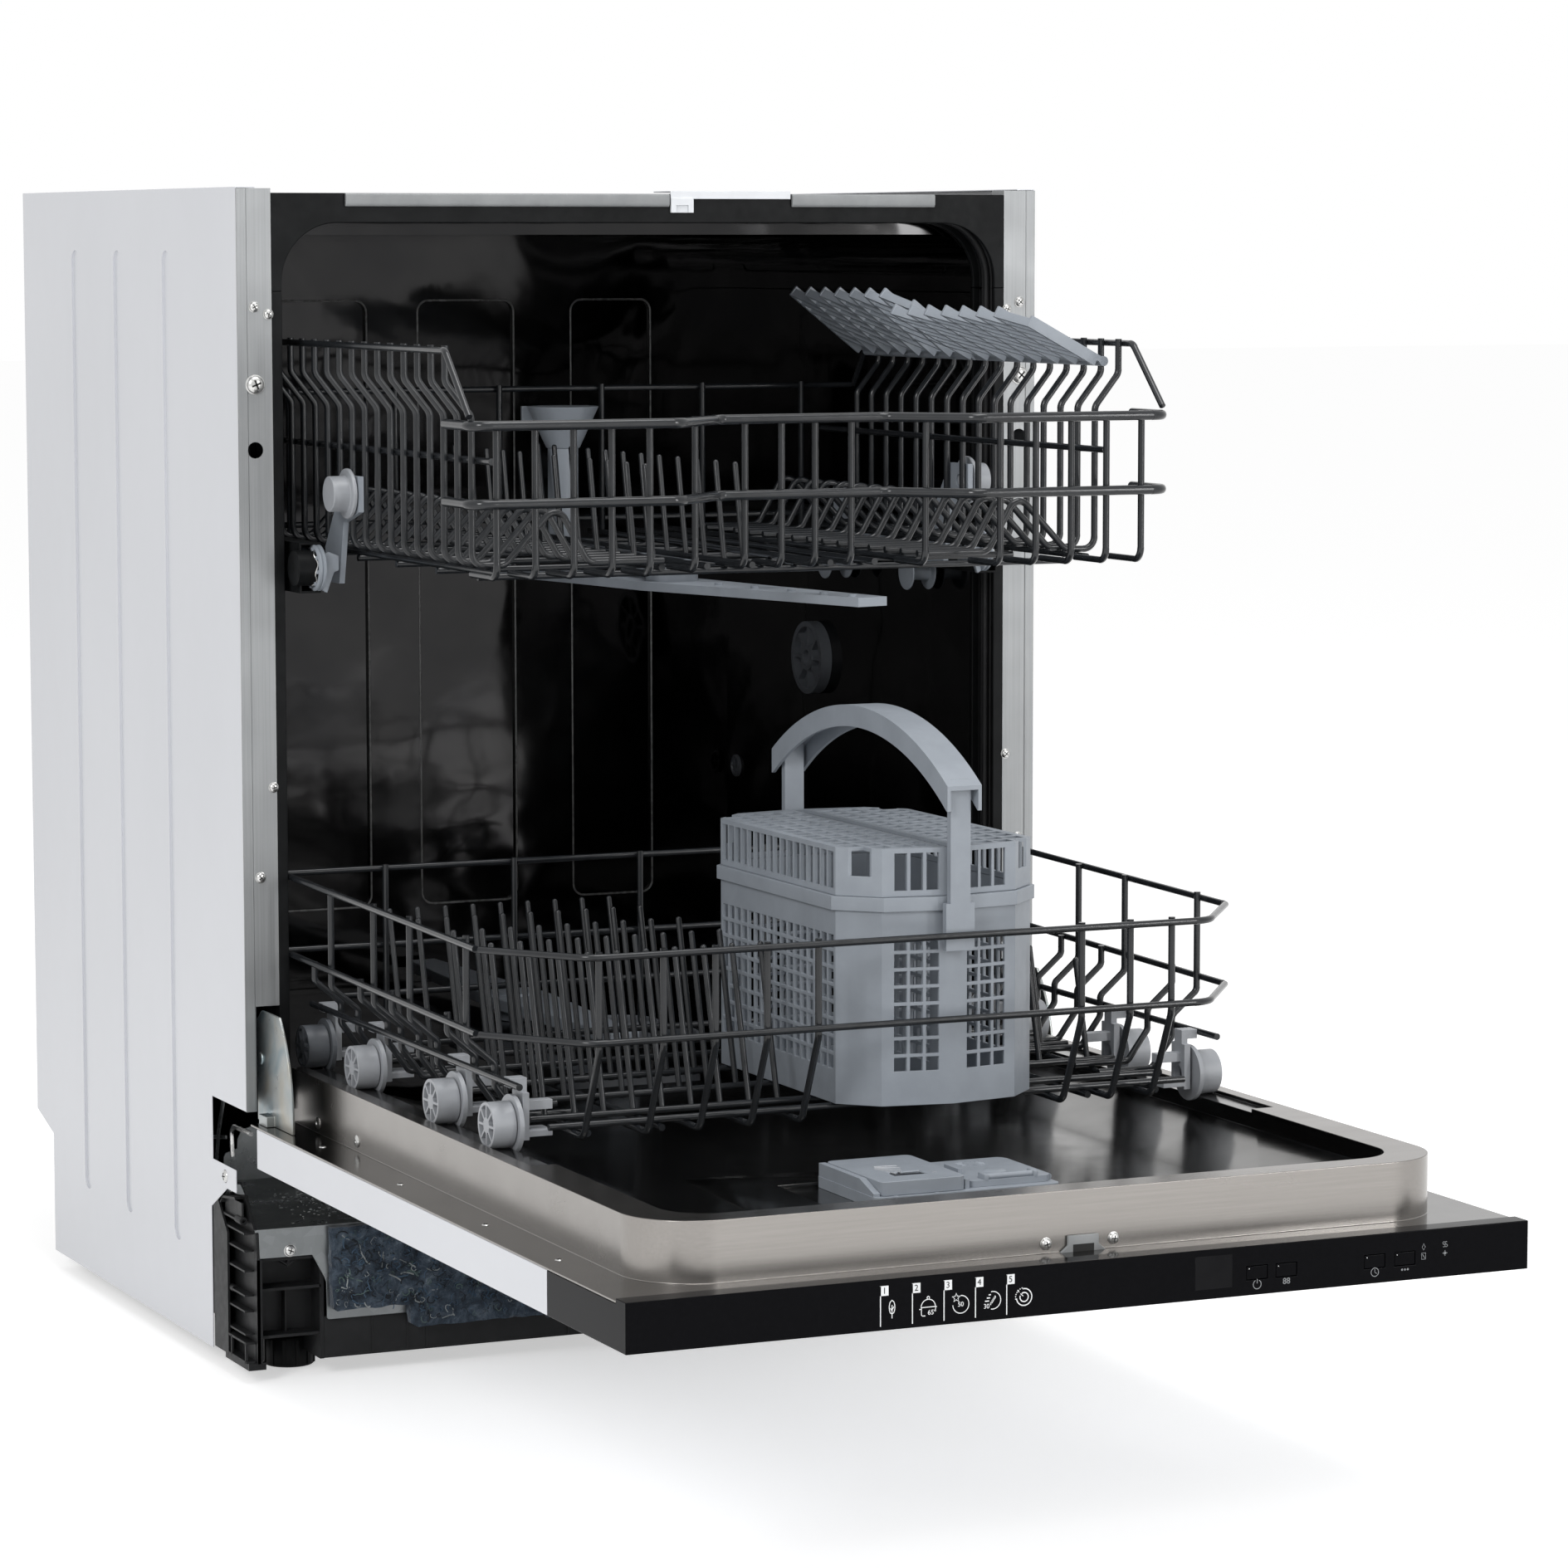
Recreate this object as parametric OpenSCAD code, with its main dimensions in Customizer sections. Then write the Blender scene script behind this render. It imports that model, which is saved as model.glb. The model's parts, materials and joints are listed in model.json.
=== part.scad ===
// Built-in dishwasher, door open, both racks pulled out.
// X runs across the front, Y runs into the cabinet, Z runs up from the floor.

/* [Cabinet] */
// overall width
cabinet_w = 598; // [597:0.5:600]
// overall height
cabinet_h = 815; // [813:1:822]
// depth from the front plane to the rear edge of the side panels
cabinet_d = 510; // [505:1:530]
// sheet thickness of the side panels
panel_t = 0.8; // [0.7:0.1:1]
// height at which the front posts and the tub front start
post_foot_z = 190; // [188:1:192]
// width of a front post
post_w = 24.5; // [24.3:0.1:24.6]
// sheet thickness of the front posts
post_t = 1; // [0.8:0.1:1.2]
// depth that a pressed rib stands back from the sheet
rib_depth = 1.5; // [1:0.1:2]
// width of a pressed rib
rib_w = 18; // [12:1:24]
// lower end of the pressed ribs
rib_low_z = 74; // [60:1:120]
// distance from the top of the cabinet to the pressed ribs
rib_drop = 42; // [30:1:200]

/* [Front frame] */
// depth of the black frame around the opening
frame_d = 38; // [36:1:40]
// distance from the top of the cabinet to the clear opening
frame_drop = 24; // [22:1:27]
// corner radius of the opening
frame_corner_r = 40; // [30:1:50]
// thickness of the frame lips
frame_lip_t = 3.4; // [2.5:0.1:4.5]
// diameter of the door seal
seal_d = 5; // [4:0.2:5.2]

/* [Tub] */
// distance from the side of the cabinet to the inside of the tub
tub_gap = 32; // [31.5:0.5:33]
// distance from the top of the cabinet to the tub ceiling
ceiling_drop = 32; // [29:1:35]
// inside face of the rear wall
tub_rear_y = 476; // [474:1:484]
// sheet thickness of the tub
tub_t = 0.8; // [0.6:0.1:1.2]
// corner radius under the tub ceiling
tub_corner_r = 30; // [20:1:45]
// height of the tub floor between the wheel ledges
tub_floor_z = 200; // [199:0.5:201]
// height of the ledges that the lower wheels roll on
ledge_z = 217; // [216.5:0.1:217]
// width of a wheel ledge
ledge_w = 25; // [24:0.1:25.2]
// how far the tub walls stand out above the shoulder
shoulder_out = 2.5; // [1:0.5:4]
// distance from the tub ceiling to the shoulder
shoulder_drop = 41; // [35:1:60]
// depth of the pressed panels in the rear wall
press_depth = 3; // [1:0.5:6]
// lower edge of the pressed panels
press_low_z = 261; // [240:1:300]
// distance from the tub ceiling to the pressed panels
press_drop = 50; // [44:1:90]
// outside radius of the wall vent
vent_r = 28; // [24:1:32]
// height of the wall vent
vent_z = 459; // [450:1:470]

/* [Door] */
// distance from the cabinet front to the door's far edge
door_reach = 668; // [664:1:672]
// gap between the door's edge and the line of the cabinet side
door_gap = 1; // [0.5:0.1:2]
// height of the door's outer face when it lies open
door_face_z = 154; // [152:1:155]
// height of the steel flange around the liner
liner_flange_z = 181.2; // [181:0.1:181.5]
// height of the liner's raised rim
liner_rim_z = 219.5; // [218.5:0.1:220]
// how far the raised rim stands outside the line of the tub walls
liner_out = 1; // [0:0.5:2]
// front end of the raised rim
liner_front_y = -632; // [-636:1:-628]
// height of the liner's dish floor
dish_z = 190; // [189:0.5:191]
// width of the slope beside the dish floor
dish_slope = 65; // [50:1:80]
// sheet thickness of the liner
liner_t = 1.2; // [1:0.1:1.4]
// depth of the control panel housing
fascia_d = 120; // [110:1:130]
// top of the control panel face
fascia_z = 184; // [183:0.5:186]
// width of a push button
button_w = 14; // [10:0.5:15]
// height of a push button
button_h = 8; // [6:0.5:9]
// height of the push buttons
button_z = 167.5; // [165:0.5:170]
// travel of a push button
button_travel = 1.2; // [0.8:0.1:1.5]

/* [Dispenser] */
// left edge
dispenser_x0 = -63; // [-66:0.5:-60]
// right edge
dispenser_x1 = 65; // [63:0.5:68]
// front edge
dispenser_y0 = -500; // [-504:1:-498]
// rear edge
dispenser_y1 = -412; // [-416:1:-410]
// top of the fixed body
dispenser_top_z = 197; // [196:0.5:198]
// top of the sliding lid
dispenser_lid_z = 206; // [204:0.5:208]

/* [Wire] */
// wire diameter of the racks
wire_d = 4.4; // [4:0.1:4.6]
// diameter of the heavy front rims of the upper rack
rim_d = 6.4; // [5.5:0.1:6.8]
// clearance at each weld
weld_gap = 0.03; // [0.02:0.01:0.05]
// extra thickness of a wire in its bends
bend_swell = 0.2; // [0.15:0.05:0.3]
// length of straight wire that runs into a bend
bend_lap = 1; // [0.8:0.1:1.2]

/* [Upper rack] */
// gap between the upper rack and the tub wall
upper_gap = 22; // [21:0.5:24]
// front of the two side portions
upper_front_y = -300; // [-306:1:-296]
// front of the hand recess between them
upper_recess_y = -254; // [-258:1:-250]
// rear end
upper_rear_y = 190; // [188:1:194]
// height of the floor wires
upper_floor_z = 573; // [572:0.5:574]
// height of the lower front rim
upper_low_rim_z = 615; // [612:1:620]
// height of the upper front rim
upper_rim_z = 664; // [660:1:668]
// height of the raised side rims
upper_side_z = 710; // [706:1:716]
// pitch of the side wires
upper_pitch = 25; // [24:0.5:27]
// inward kink of the side wires
upper_kink = 22; // [20:0.5:23]
// height of the hump in the side wires
hump_z = 611; // [604:1:618]
// length of the upper spray arm
upper_arm_len = 440; // [400:2:444]
// how far the cup shelves reach
shelf_w = 75; // [60:1:80]
// resting tilt of the front cup shelf
shelf_front_tilt = 28; // [20:1:40]
// resting tilt of the rear cup shelf
shelf_rear_tilt = 38; // [30:1:45]

/* [Rails] */
// height of a rail's middle
rail_z = 560; // [559:0.5:561]
// height of a rail
rail_h = 34; // [33.6:0.1:34.4]
// front end of the rails
rail_front_y = -15; // [-18:1:-12]
// length of the rails
rail_len = 455; // [440:1:458]

/* [Lower rack] */
// gap between the lower rack and the tub wall
lower_gap = 3; // [2.5:0.5:5]
// front of the rack
lower_front_y = -415; // [-418:1:-412]
// rear of the rack
lower_rear_y = 25; // [22:1:26]
// height of the upper rim
lower_rim_z = 343; // [338:1:348]
// height of the second rim
lower_mid_z = 290; // [286:1:296]
// height of the floor wires
lower_floor_z = 236; // [235.5:0.5:237]
// slant of the plate tines
tine_lean = 15; // [8:1:18]
// length of the plate tines
tine_len = 104; // [80:1:110]
// pitch of the plate tines
tine_pitch = 20; // [18:0.5:22]
// tread radius of a wheel
wheel_r = 14.5; // [14:0.1:14.5]
// flange radius of a wheel
wheel_flange_r = 18.5; // [17.5:0.1:18.6]

/* [Cutlery basket] */
// middle of the basket across the rack
basket_x = 38; // [37:0.5:39]
// half width
basket_hw = 72; // [70:0.5:73]
// front corner line
basket_front_y = -398; // [-400:0.5:-396]
// rear corner line
basket_rear_y = -167; // [-170:0.5:-165]
// cut at each corner
basket_cut = 25; // [20:1:30]
// how far the middle of each end stands out
basket_peak = 8; // [4:0.5:9]
// top of the basket body
basket_rim_z = 367; // [360:1:372]
// top of the two lids
basket_lid_z = 398; // [394:1:402]
// top of the carrying handle
handle_z = 478; // [470:1:482]
// pitch of the upright slots
slot_pitch = 10.4; // [9:0.1:12]
// pitch of the rows of slots
row_pitch = 11; // [10:0.5:13]

/* [Hidden] */
$fn = 32;
round_fn = 64;
touch = 0.1;
lap = 0.4;
front_y = (door_reach - cabinet_d) / 2;
side_x = cabinet_w / 2;
post_in_x = side_x - post_w;
tub_hw = side_x - tub_gap;
tub_ceiling_z = cabinet_h - ceiling_drop;
shoulder_z = tub_ceiling_z - shoulder_drop;
press_high_z = tub_ceiling_z - press_drop;
rib_high_z = cabinet_h - rib_drop;
frame_open_hw = tub_hw;
frame_open_z = cabinet_h - frame_drop;
ledge_in_x = tub_hw - ledge_w;
ledge_step_x = ledge_in_x - 1;
ledge_step_z = 207;
weld = wire_d + weld_gap;
bend_r = 8;
wheel_z = ledge_z + wheel_r + 0.3;
wheel_ys = [-344, -245, -95, 5];
tub_roller_ys = [100, 243];
spool_hub_r = 6;
button_xs = [109, 129, 190, 211];
arm_y = -38;
lower_arm_y = 257;
lower_arm_r = 208;
door_hw = side_x - door_gap;
liner_hw = tub_hw + liner_out;
dish_hw = ledge_step_x - dish_slope;
upper_hw = tub_hw - upper_gap;
lower_hw = tub_hw - lower_gap;

// ---------- shared shapes ----------

module place() translate([0, front_y, 0]) children();

// profile drawn in Y and Z, drawn out along X from x0
module along_x(x0, len)
    translate([x0, 0, 0]) rotate([90, 0, 90]) linear_extrude(len) children();

// profile drawn in X and Z, drawn out along Y from y0
module along_y(y0, len)
    translate([0, y0 + len, 0]) rotate([90, 0, 0]) linear_extrude(len) children();

module block(p, q) translate(p) cube(q - p);

module both_sides() {
    children();
    mirror([1, 0, 0]) children();
}

module pin_x(x0, y, z, len, r)
    translate([x0, y, z]) rotate([0, 90, 0]) cylinder(h = len, r = r, $fn = round_fn);

module pin_y(x, y0, z, len, r)
    translate([x, y0, z]) rotate([-90, 0, 0]) cylinder(h = len, r = r);

module stadium(w, low, high) {
    translate([-w / 2, low + w / 2]) square([w, high - low - w]);
    translate([0, low + w / 2]) circle(d = w);
    translate([0, high - w / 2]) circle(d = w);
}

module round_rect(x0, y0, x1, y1, r) {
    translate([x0 + r, y0]) square([x1 - x0 - 2 * r, y1 - y0]);
    translate([x0, y0 + r]) square([x1 - x0, y1 - y0 - 2 * r]);
    for (x = [x0 + r, x1 - r], y = [y0 + r, y1 - r])
        translate([x, y]) circle(r);
}

// opening with square lower corners and round upper ones
module arch(hw, low, high, r) {
    translate([-hw, low]) square([2 * hw, high - low - r]);
    translate([r - hw, low]) square([2 * (hw - r), high - low]);
    for (s = [-1, 1]) translate([s * (hw - r), high - r]) circle(r, $fn = round_fn);
}

function unit(v) = v / norm(v);

module rod(a, b, d) {
    v = b - a;
    translate(a) rotate([0, acos(v.z / norm(v)), atan2(v.y, v.x)]) cylinder(h = norm(v), d = d);
}

// round wire through the points, bent to radius r at each inner one
module wire(p, d = wire_d, r = bend_r) {
    n = len(p);
    function turn(i) = acos(unit(p[i] - p[i - 1]) * unit(p[i + 1] - p[i]));
    function trim(i) = i == 0 || i == n - 1 ? 0 : r * tan(turn(i) / 2);
    for (i = [0:n - 2]) {
        u = unit(p[i + 1] - p[i]);
        rod(p[i] + u * max(trim(i) - bend_lap, 0),
            p[i + 1] - u * max(trim(i + 1) - bend_lap, 0), d);
    }
    for (i = [1:1:n - 2]) {
        u = unit(p[i] - p[i - 1]);
        v = unit(p[i + 1] - p[i]);
        s = unit(v - u * (u * v));
        c = p[i] - u * trim(i) + s * r;
        w = cross(-s, u);
        multmatrix([[-s.x, u.x, w.x, c.x], [-s.y, u.y, w.y, c.y], [-s.z, u.z, w.z, c.z],
                    [0, 0, 0, 1]])
            rotate_extrude(angle = turn(i)) translate([r, 0]) circle(d = d + bend_swell);
    }
}

module screw_y(x, y, z, r = 4) difference() {
    pin_y(x, y, z, 2.2, r);
    for (a = [0, 90]) translate([x, y, z]) rotate([0, a, 0])
        cube([r * 1.1, 1.6, 0.9], center = true);
}

module screw_z(x, y, z, r = 4) difference() {
    translate([x, y, z]) cylinder(h = 2, r = r);
    for (a = [0, 90]) translate([x, y, z + 2]) rotate(a) cube([r * 1.1, 0.9, 1.6], center = true);
}

// ---------- cabinet ----------

notch_y = 76;
tab_y = 25;
tab_low_z = 130;
tab_high_z = 146;
shin_y = 80;
rear_notch_y = 467;
panel_low_z = 12;
panel_front_y = post_t + touch;
rib_ys = [157, 272, 376];
flange_w = 14;

module panel_outline() polygon([
    [panel_front_y, cabinet_h], [cabinet_d, cabinet_h], [cabinet_d, 115],
    [rear_notch_y, 102], [rear_notch_y, panel_low_z], [shin_y, panel_low_z], [shin_y, 112],
    [tab_y + 20, tab_low_z], [tab_y, tab_low_z], [tab_y, tab_high_z], [notch_y, tab_high_z],
    [notch_y, post_foot_z], [panel_front_y, post_foot_z]]);

module ribs(w) for (y = rib_ys)
    translate([y, 0]) stadium(w, rib_low_z + (rib_w - w) / 2, rib_high_z - (rib_w - w) / 2);

module side_panel() {
    difference() {
        along_x(-side_x, panel_t) panel_outline();
        along_x(-side_x - 1, panel_t + 2) ribs(rib_w - panel_t);
        pin_x(-side_x - 1, 48.7, 138, 4, 4.6);
    }
    difference() {
        along_x(-side_x, panel_t + rib_depth) ribs(rib_w);
        along_x(-side_x - 1, rib_depth + 1) ribs(rib_w - 2 * panel_t);
    }
    block([-side_x + panel_t / 2, panel_front_y, cabinet_h - panel_t],
          [-side_x + flange_w, cabinet_d, cabinet_h]);
    block([-side_x + panel_t / 2, cabinet_d - panel_t, 130],
          [-side_x + flange_w, cabinet_d, cabinet_h - panel_t / 2]);
}

module side_panel_left() color("white") place() side_panel();
module side_panel_right() color("white") place() mirror([1, 0, 0]) side_panel();

post_hole_x = side_x - 12;
post_hole_zs = [cabinet_h - 176, cabinet_h - 132];
post_screw_zs = [cabinet_h - 80, cabinet_h - 465];
frame_screw_zs = [cabinet_h - 85, cabinet_h - 404];
hinge_slot_z = 262;

module front_posts() color("silver") place() both_sides() difference() {
    translate([0, 0, post_foot_z]) linear_extrude(cabinet_h - post_foot_z - 1) polygon([
        [-side_x, 0], [-side_x + 6.7, 0], [-side_x + 7.3, 0.5], [-post_in_x, 0.5],
        [-post_in_x, 20], [-post_in_x - post_t, 20], [-post_in_x - post_t, post_t + 0.5],
        [-side_x + 7, post_t + 0.5], [-side_x + 6.4, post_t], [-side_x, post_t]]);
    block([-side_x + 7.6, -1, post_foot_z - 1], [-post_in_x + 1, 30, hinge_slot_z]);
    for (z = post_hole_zs) pin_y(-post_hole_x, -2, z, 6, 5.5);
    for (z = post_screw_zs) pin_y(-post_hole_x, -2, z, 6, 2.1);
}

frame_hw = post_in_x - touch;
frame_y = 0.6;
frame_wall_x = frame_hw - 1.6;
frame_split_z = frame_open_z - frame_corner_r - 6;
frame_top_z = cabinet_h - 4;
frame_wall_z = frame_open_z + frame_wall_x - frame_open_hw;

module frame_top() color("#202224") place() {
    for (y = [frame_y, frame_d - frame_lip_t]) along_y(y, frame_lip_t) difference() {
        translate([-frame_hw, frame_split_z]) square([2 * frame_hw, frame_top_z - frame_split_z]);
        arch(frame_open_hw, frame_split_z - 1, frame_open_z, frame_corner_r);
    }
    along_y(frame_y + lap, frame_d - frame_y - 2 * lap) difference() {
        translate([-frame_hw, frame_split_z]) square([2 * frame_hw, frame_top_z - frame_split_z]);
        arch(frame_wall_x, frame_split_z - 1, frame_wall_z, frame_corner_r + frame_wall_z - frame_open_z);
    }
}

module frame_sides() color("#202224") place() both_sides()
    translate([0, 0, post_foot_z]) linear_extrude(frame_split_z - touch - post_foot_z) polygon([
        [-frame_hw, frame_y], [-frame_open_hw, frame_y],
        [-frame_open_hw, frame_y + frame_lip_t], [-frame_wall_x, frame_y + frame_lip_t],
        [-frame_wall_x, frame_d - frame_lip_t], [-frame_open_hw, frame_d - frame_lip_t],
        [-frame_open_hw, frame_d], [-frame_hw, frame_d]]);

seal_x = frame_wall_x - seal_d / 2 - 0.2;

module door_seal() color("#1a1a1a") place()
    wire([[-seal_x, 19, post_foot_z + 2], [-seal_x, 19, frame_wall_z - seal_d / 2 - 0.2],
          [seal_x, 19, frame_wall_z - seal_d / 2 - 0.2], [seal_x, 19, post_foot_z + 2]],
         seal_d, frame_corner_r + frame_wall_z - frame_open_z - seal_d / 2 - 0.2);

latch_x0 = 16;
latch_x1 = 107;

module top_trims() color("silver") place() translate([0, 0, frame_top_z])
    for (x = [[-frame_hw + 52.4, latch_x0 - 1], [latch_x1 + 1, frame_hw - 55.4]])
        along_x(x[0], x[1] - x[0]) polygon([
            [-2, -7], [-0.9, -9], [frame_y - touch, -9], [frame_y - touch, 0], [-1, 0], [-2, -1]]);

module door_latch() color("gainsboro") place() translate([0, 0, frame_top_z]) {
    block([latch_x0, -0.8, -3.5], [latch_x1, frame_y - touch, 2]);
    difference() {
        block([latch_x0, -0.8, 1], [latch_x1, 30, 2]);
        block([latch_x0 + 37, -2, 0], [latch_x0 + 47, 4, 3]);
    }
    difference() {
        block([latch_x0, -1.6, -13], [latch_x0 + 17, frame_y - touch, -3]);
        block([latch_x0 + 4, -2, -15], [latch_x0 + 13, -0.4, -8]);
    }
}

// ---------- tub ----------

tub_foot_z = 205;
tub_flange = 11;

// inside of the tub across the front, let out by g all over
module tub_section(g, low) {
    arch(tub_hw + g, low, tub_ceiling_z + g, tub_corner_r + g);
    arch(tub_hw + shoulder_out + g, shoulder_z - g, tub_ceiling_z + g, tub_corner_r + g);
}

module tub_shell() color("silver") place() {
    along_y(frame_d + touch, tub_rear_y - frame_d) difference() {
        tub_section(tub_t, tub_foot_z);
        tub_section(0, tub_foot_z - 1);
    }
    along_y(frame_d + touch, 1) difference() {
        arch(tub_hw + tub_flange, tub_foot_z, tub_ceiling_z + tub_flange,
             tub_corner_r + tub_flange);
        arch(tub_hw, tub_foot_z - 1, tub_ceiling_z, tub_corner_r);
    }
}

press_x = -tub_hw + 68;
press_boxes = [for (i = [0:3]) [press_x + i * 122, i == 3 ? 68 : 80]];

module presses(inset) for (b = press_boxes)
    round_rect(b[0] - b[1] / 2 + inset, press_low_z + inset, b[0] + b[1] / 2 - inset,
               press_high_z - inset, 9 - inset);

module tub_rear_wall() color("silver") place() translate([0, tub_rear_y + 2 * touch, 0]) {
    difference() {
        along_y(0, tub_t) tub_section(tub_t, tub_foot_z);
        along_y(-1, tub_t + 2) presses(tub_t / 2);
    }
    difference() {
        along_y(0, tub_t + press_depth) presses(0);
        along_y(-1, press_depth + 1) presses(tub_t);
    }
}

sump_x = 45;
sump_y = 170;
sump_r = 60;
basin_hw = ledge_step_x - 61;

module floor_band(t) polygon([
    [-tub_hw + touch, ledge_z], [-ledge_in_x, ledge_z], [-ledge_step_x, ledge_step_z],
    [-basin_hw, tub_floor_z], [basin_hw, tub_floor_z], [ledge_step_x, ledge_step_z],
    [ledge_in_x, ledge_z], [tub_hw - touch, ledge_z], [tub_hw - touch, ledge_z - t],
    [ledge_in_x + t, ledge_z - t], [ledge_step_x + t, ledge_step_z - t],
    [basin_hw, tub_floor_z - t], [-basin_hw, tub_floor_z - t], [-ledge_step_x - t, ledge_step_z - t],
    [-ledge_in_x - t, ledge_z - t], [-tub_hw + touch, ledge_z - t]]);

module tub_floor() color("silver") place() difference() {
    along_y(1, tub_rear_y - 1) floor_band(1);
    translate([sump_x, sump_y, tub_floor_z - 5]) cylinder(h = 10, r = sump_r, $fn = round_fn);
}

module wall_vent() color("silver") place()
    translate([tub_hw - touch, 304, vent_z]) rotate([0, -90, 0]) {
        difference() {
            cylinder(h = 9, r = vent_r, $fn = round_fn);
            translate([0, 0, 3]) cylinder(h = 9, r = vent_r - 4, $fn = round_fn);
        }
        difference() {
            translate([0, 0, 2]) cylinder(h = 7, r = 10);
            translate([0, 0, 5]) cylinder(h = 7, r = 6);
        }
        for (a = [0:45:315]) rotate(a) translate([9, -1.2, 2]) cube([vent_r - 11, 2.4, 6]);
    }

module sump_filter() color("gray") place() translate([sump_x, sump_y, 0]) {
    difference() {
        translate([0, 0, 150]) cylinder(h = tub_floor_z - 151, r = sump_r - 0.3, $fn = round_fn);
        translate([0, 0, 153]) cylinder(h = 60, r = sump_r - 3, $fn = round_fn);
    }
    difference() {
        translate([0, 0, 152]) cylinder(h = 56, r = 30, $fn = round_fn);
        translate([0, 0, 160]) cylinder(h = 56, r = 28, $fn = round_fn);
    }
    block([-29, -3, 200], [29, 3, 206]);
}

module lower_spray_arm() color("gray") place() translate([0, lower_arm_y, 0]) {
    translate([0, 0, tub_floor_z + touch]) cylinder(h = 21, r = 15);
    translate([0, 0, 210]) linear_extrude(9) polygon([
        [-24, 0], [-20, -60], [-11, -lower_arm_r], [11, -lower_arm_r], [20, -60],
        [24, 0], [20, 60], [11, lower_arm_r], [-11, lower_arm_r], [-20, 60]]);
}

// ---------- base ----------

bracket_w = 33;
tray_hw = side_x - bracket_w;
tray_wall = 3;
tray_front_y = 31;
tray_rear_y = 465;
tray_top_z = 100;
bracket_low_z = 16;

module base_tray() color("#303236") place() {
    difference() {
        block([-tray_hw, tray_front_y, panel_low_z], [tray_hw, tray_rear_y, tray_top_z]);
        block([-tray_hw + tray_wall, tray_front_y + tray_wall, panel_low_z + tray_wall],
              [tray_hw - tray_wall, tray_rear_y - tray_wall, tray_top_z + 1]);
    }
    block([-side_x + 1, tray_rear_y - tray_wall, 20],
          [side_x - 1, tray_rear_y, tub_floor_z - 3]);
}

module base_brackets() color("#1c1d1f") place() both_sides() difference() {
    along_x(-side_x + 2, side_x - 2 - tray_hw - touch) polygon([
        [6, bracket_low_z], [78, bracket_low_z], [78, 112], [60, 126], [34, 126], [11, 96],
        [11, 60], [6, 50]]);
    for (z = [24, 56, 88]) block([-side_x + 1, 16, z], [-side_x + 26, 44, z + 24]);
    for (z = [24, 56, 88]) block([-side_x + 1, 49, z], [-side_x + 26, 72, z + 18]);
}

bar_y = 9;
bar_t = 1.2;
bar_screw_x = tray_hw - 1;
plate_hw = tray_hw - 26;

module front_crossbar() color("silver") place() {
    difference() {
        block([-side_x + 1, bar_y, 127], [side_x - 1, bar_y + bar_t, 144]);
        both_sides() pin_y(-bar_screw_x, bar_y - 2, 136, 6, 2.2);
    }
    block([-plate_hw, bar_y, 60], [plate_hw, bar_y + bar_t, 127.5]);
    block([-side_x + 1, bar_y + bar_t / 2, 143], [side_x - 1, 74, 144]);
}

module felt_mat() color("#3a4654") place() difference() {
    block([-plate_hw + 1, 1, 46], [plate_hw - 1, bar_y - touch, 107]);
    block([-plate_hw, 0, 45], [-plate_hw + 90, bar_y + 1, 58]);
    block([plate_hw - 90, 0, 45], [plate_hw, bar_y + 1, 52]);
}

module front_beam() color("#1c1d1f") place() {
    along_x(-tray_hw, 2 * tray_hw) polygon([
        [12, 8], [15, 8], [15, 38], [tray_front_y - touch, 38], [tray_front_y - touch, 42],
        [12, 42]]);
    both_sides() block([-tray_hw, 14, 12], [-tray_hw + 3, tray_front_y - touch, 38.5]);
}

module foot(x, y, top) translate([x, y, 0]) {
    cylinder(h = 7, r = 19, $fn = round_fn);
    translate([0, 0, 6]) cylinder(h = 4, r = 12);
    cylinder(h = top, r = 6);
}

module feet() color("#1c1d1f") place() both_sides() {
    foot(-side_x + 21, 30, bracket_low_z - touch);
    foot(-tray_hw + 41, tray_rear_y - 25, panel_low_z - touch);
}

module cabinet_screws() color("silver") place() both_sides() {
    for (z = post_screw_zs) screw_y(-post_hole_x, -1.8, z);
    screw_y(-post_hole_x, -2.3, post_hole_zs[1], 6.5);
    for (z = frame_screw_zs) screw_y(-frame_open_hw - 4, -1.7, z, 3.2);
    screw_y(-bar_screw_x, bar_y - 2.3, 136);
    translate([-side_x + 1.7, 48.7, 138]) rotate([0, 0, 90]) screw_y(0, -0.8, 0);
}

// ---------- rails ----------

rail_in_x = tub_hw - 20;
rail_out_x = tub_hw - 5;
rail_low = rail_z - rail_h / 2;
rail_high = rail_z + rail_h / 2;

module rack_rails() color("#1c1d1f") place() both_sides() along_y(rail_front_y, rail_len)
    polygon([
        [-rail_out_x, rail_low], [-rail_in_x, rail_low], [-rail_in_x, rail_low + 6],
        [-rail_in_x - 1.4, rail_low + 6], [-rail_in_x - 1.4, rail_low + 1.6],
        [-rail_out_x + 1.5, rail_low + 1.6], [-rail_out_x + 1.5, rail_high - 1.6],
        [-rail_in_x - 1.4, rail_high - 1.6], [-rail_in_x - 1.4, rail_high - 6],
        [-rail_in_x, rail_high - 6], [-rail_in_x, rail_high], [-rail_out_x, rail_high]]);

spool_z = rail_low - spool_hub_r - 0.05;

module spools(y) color("gray") place() both_sides() {
    pin_x(-rail_out_x - 2, y, spool_z, 1.5, 13);
    pin_x(-rail_in_x + 0.5, y, spool_z, 1.5, 13);
    pin_x(-rail_out_x - 1, y, spool_z, 17, spool_hub_r);
    pin_x(-tub_hw + touch, y, spool_z, 4, 3);
}

module tub_rollers_front() spools(tub_roller_ys[0]);
module tub_rollers_rear() spools(tub_roller_ys[1]);

// ---------- door ----------

door_rear_y = -18;
liner_rear_y = -4;
pocket_front_y = liner_front_y + 20;
strip_top_z = liner_flange_z - touch;
fascia_rear_y = -door_reach + fascia_d;

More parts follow.
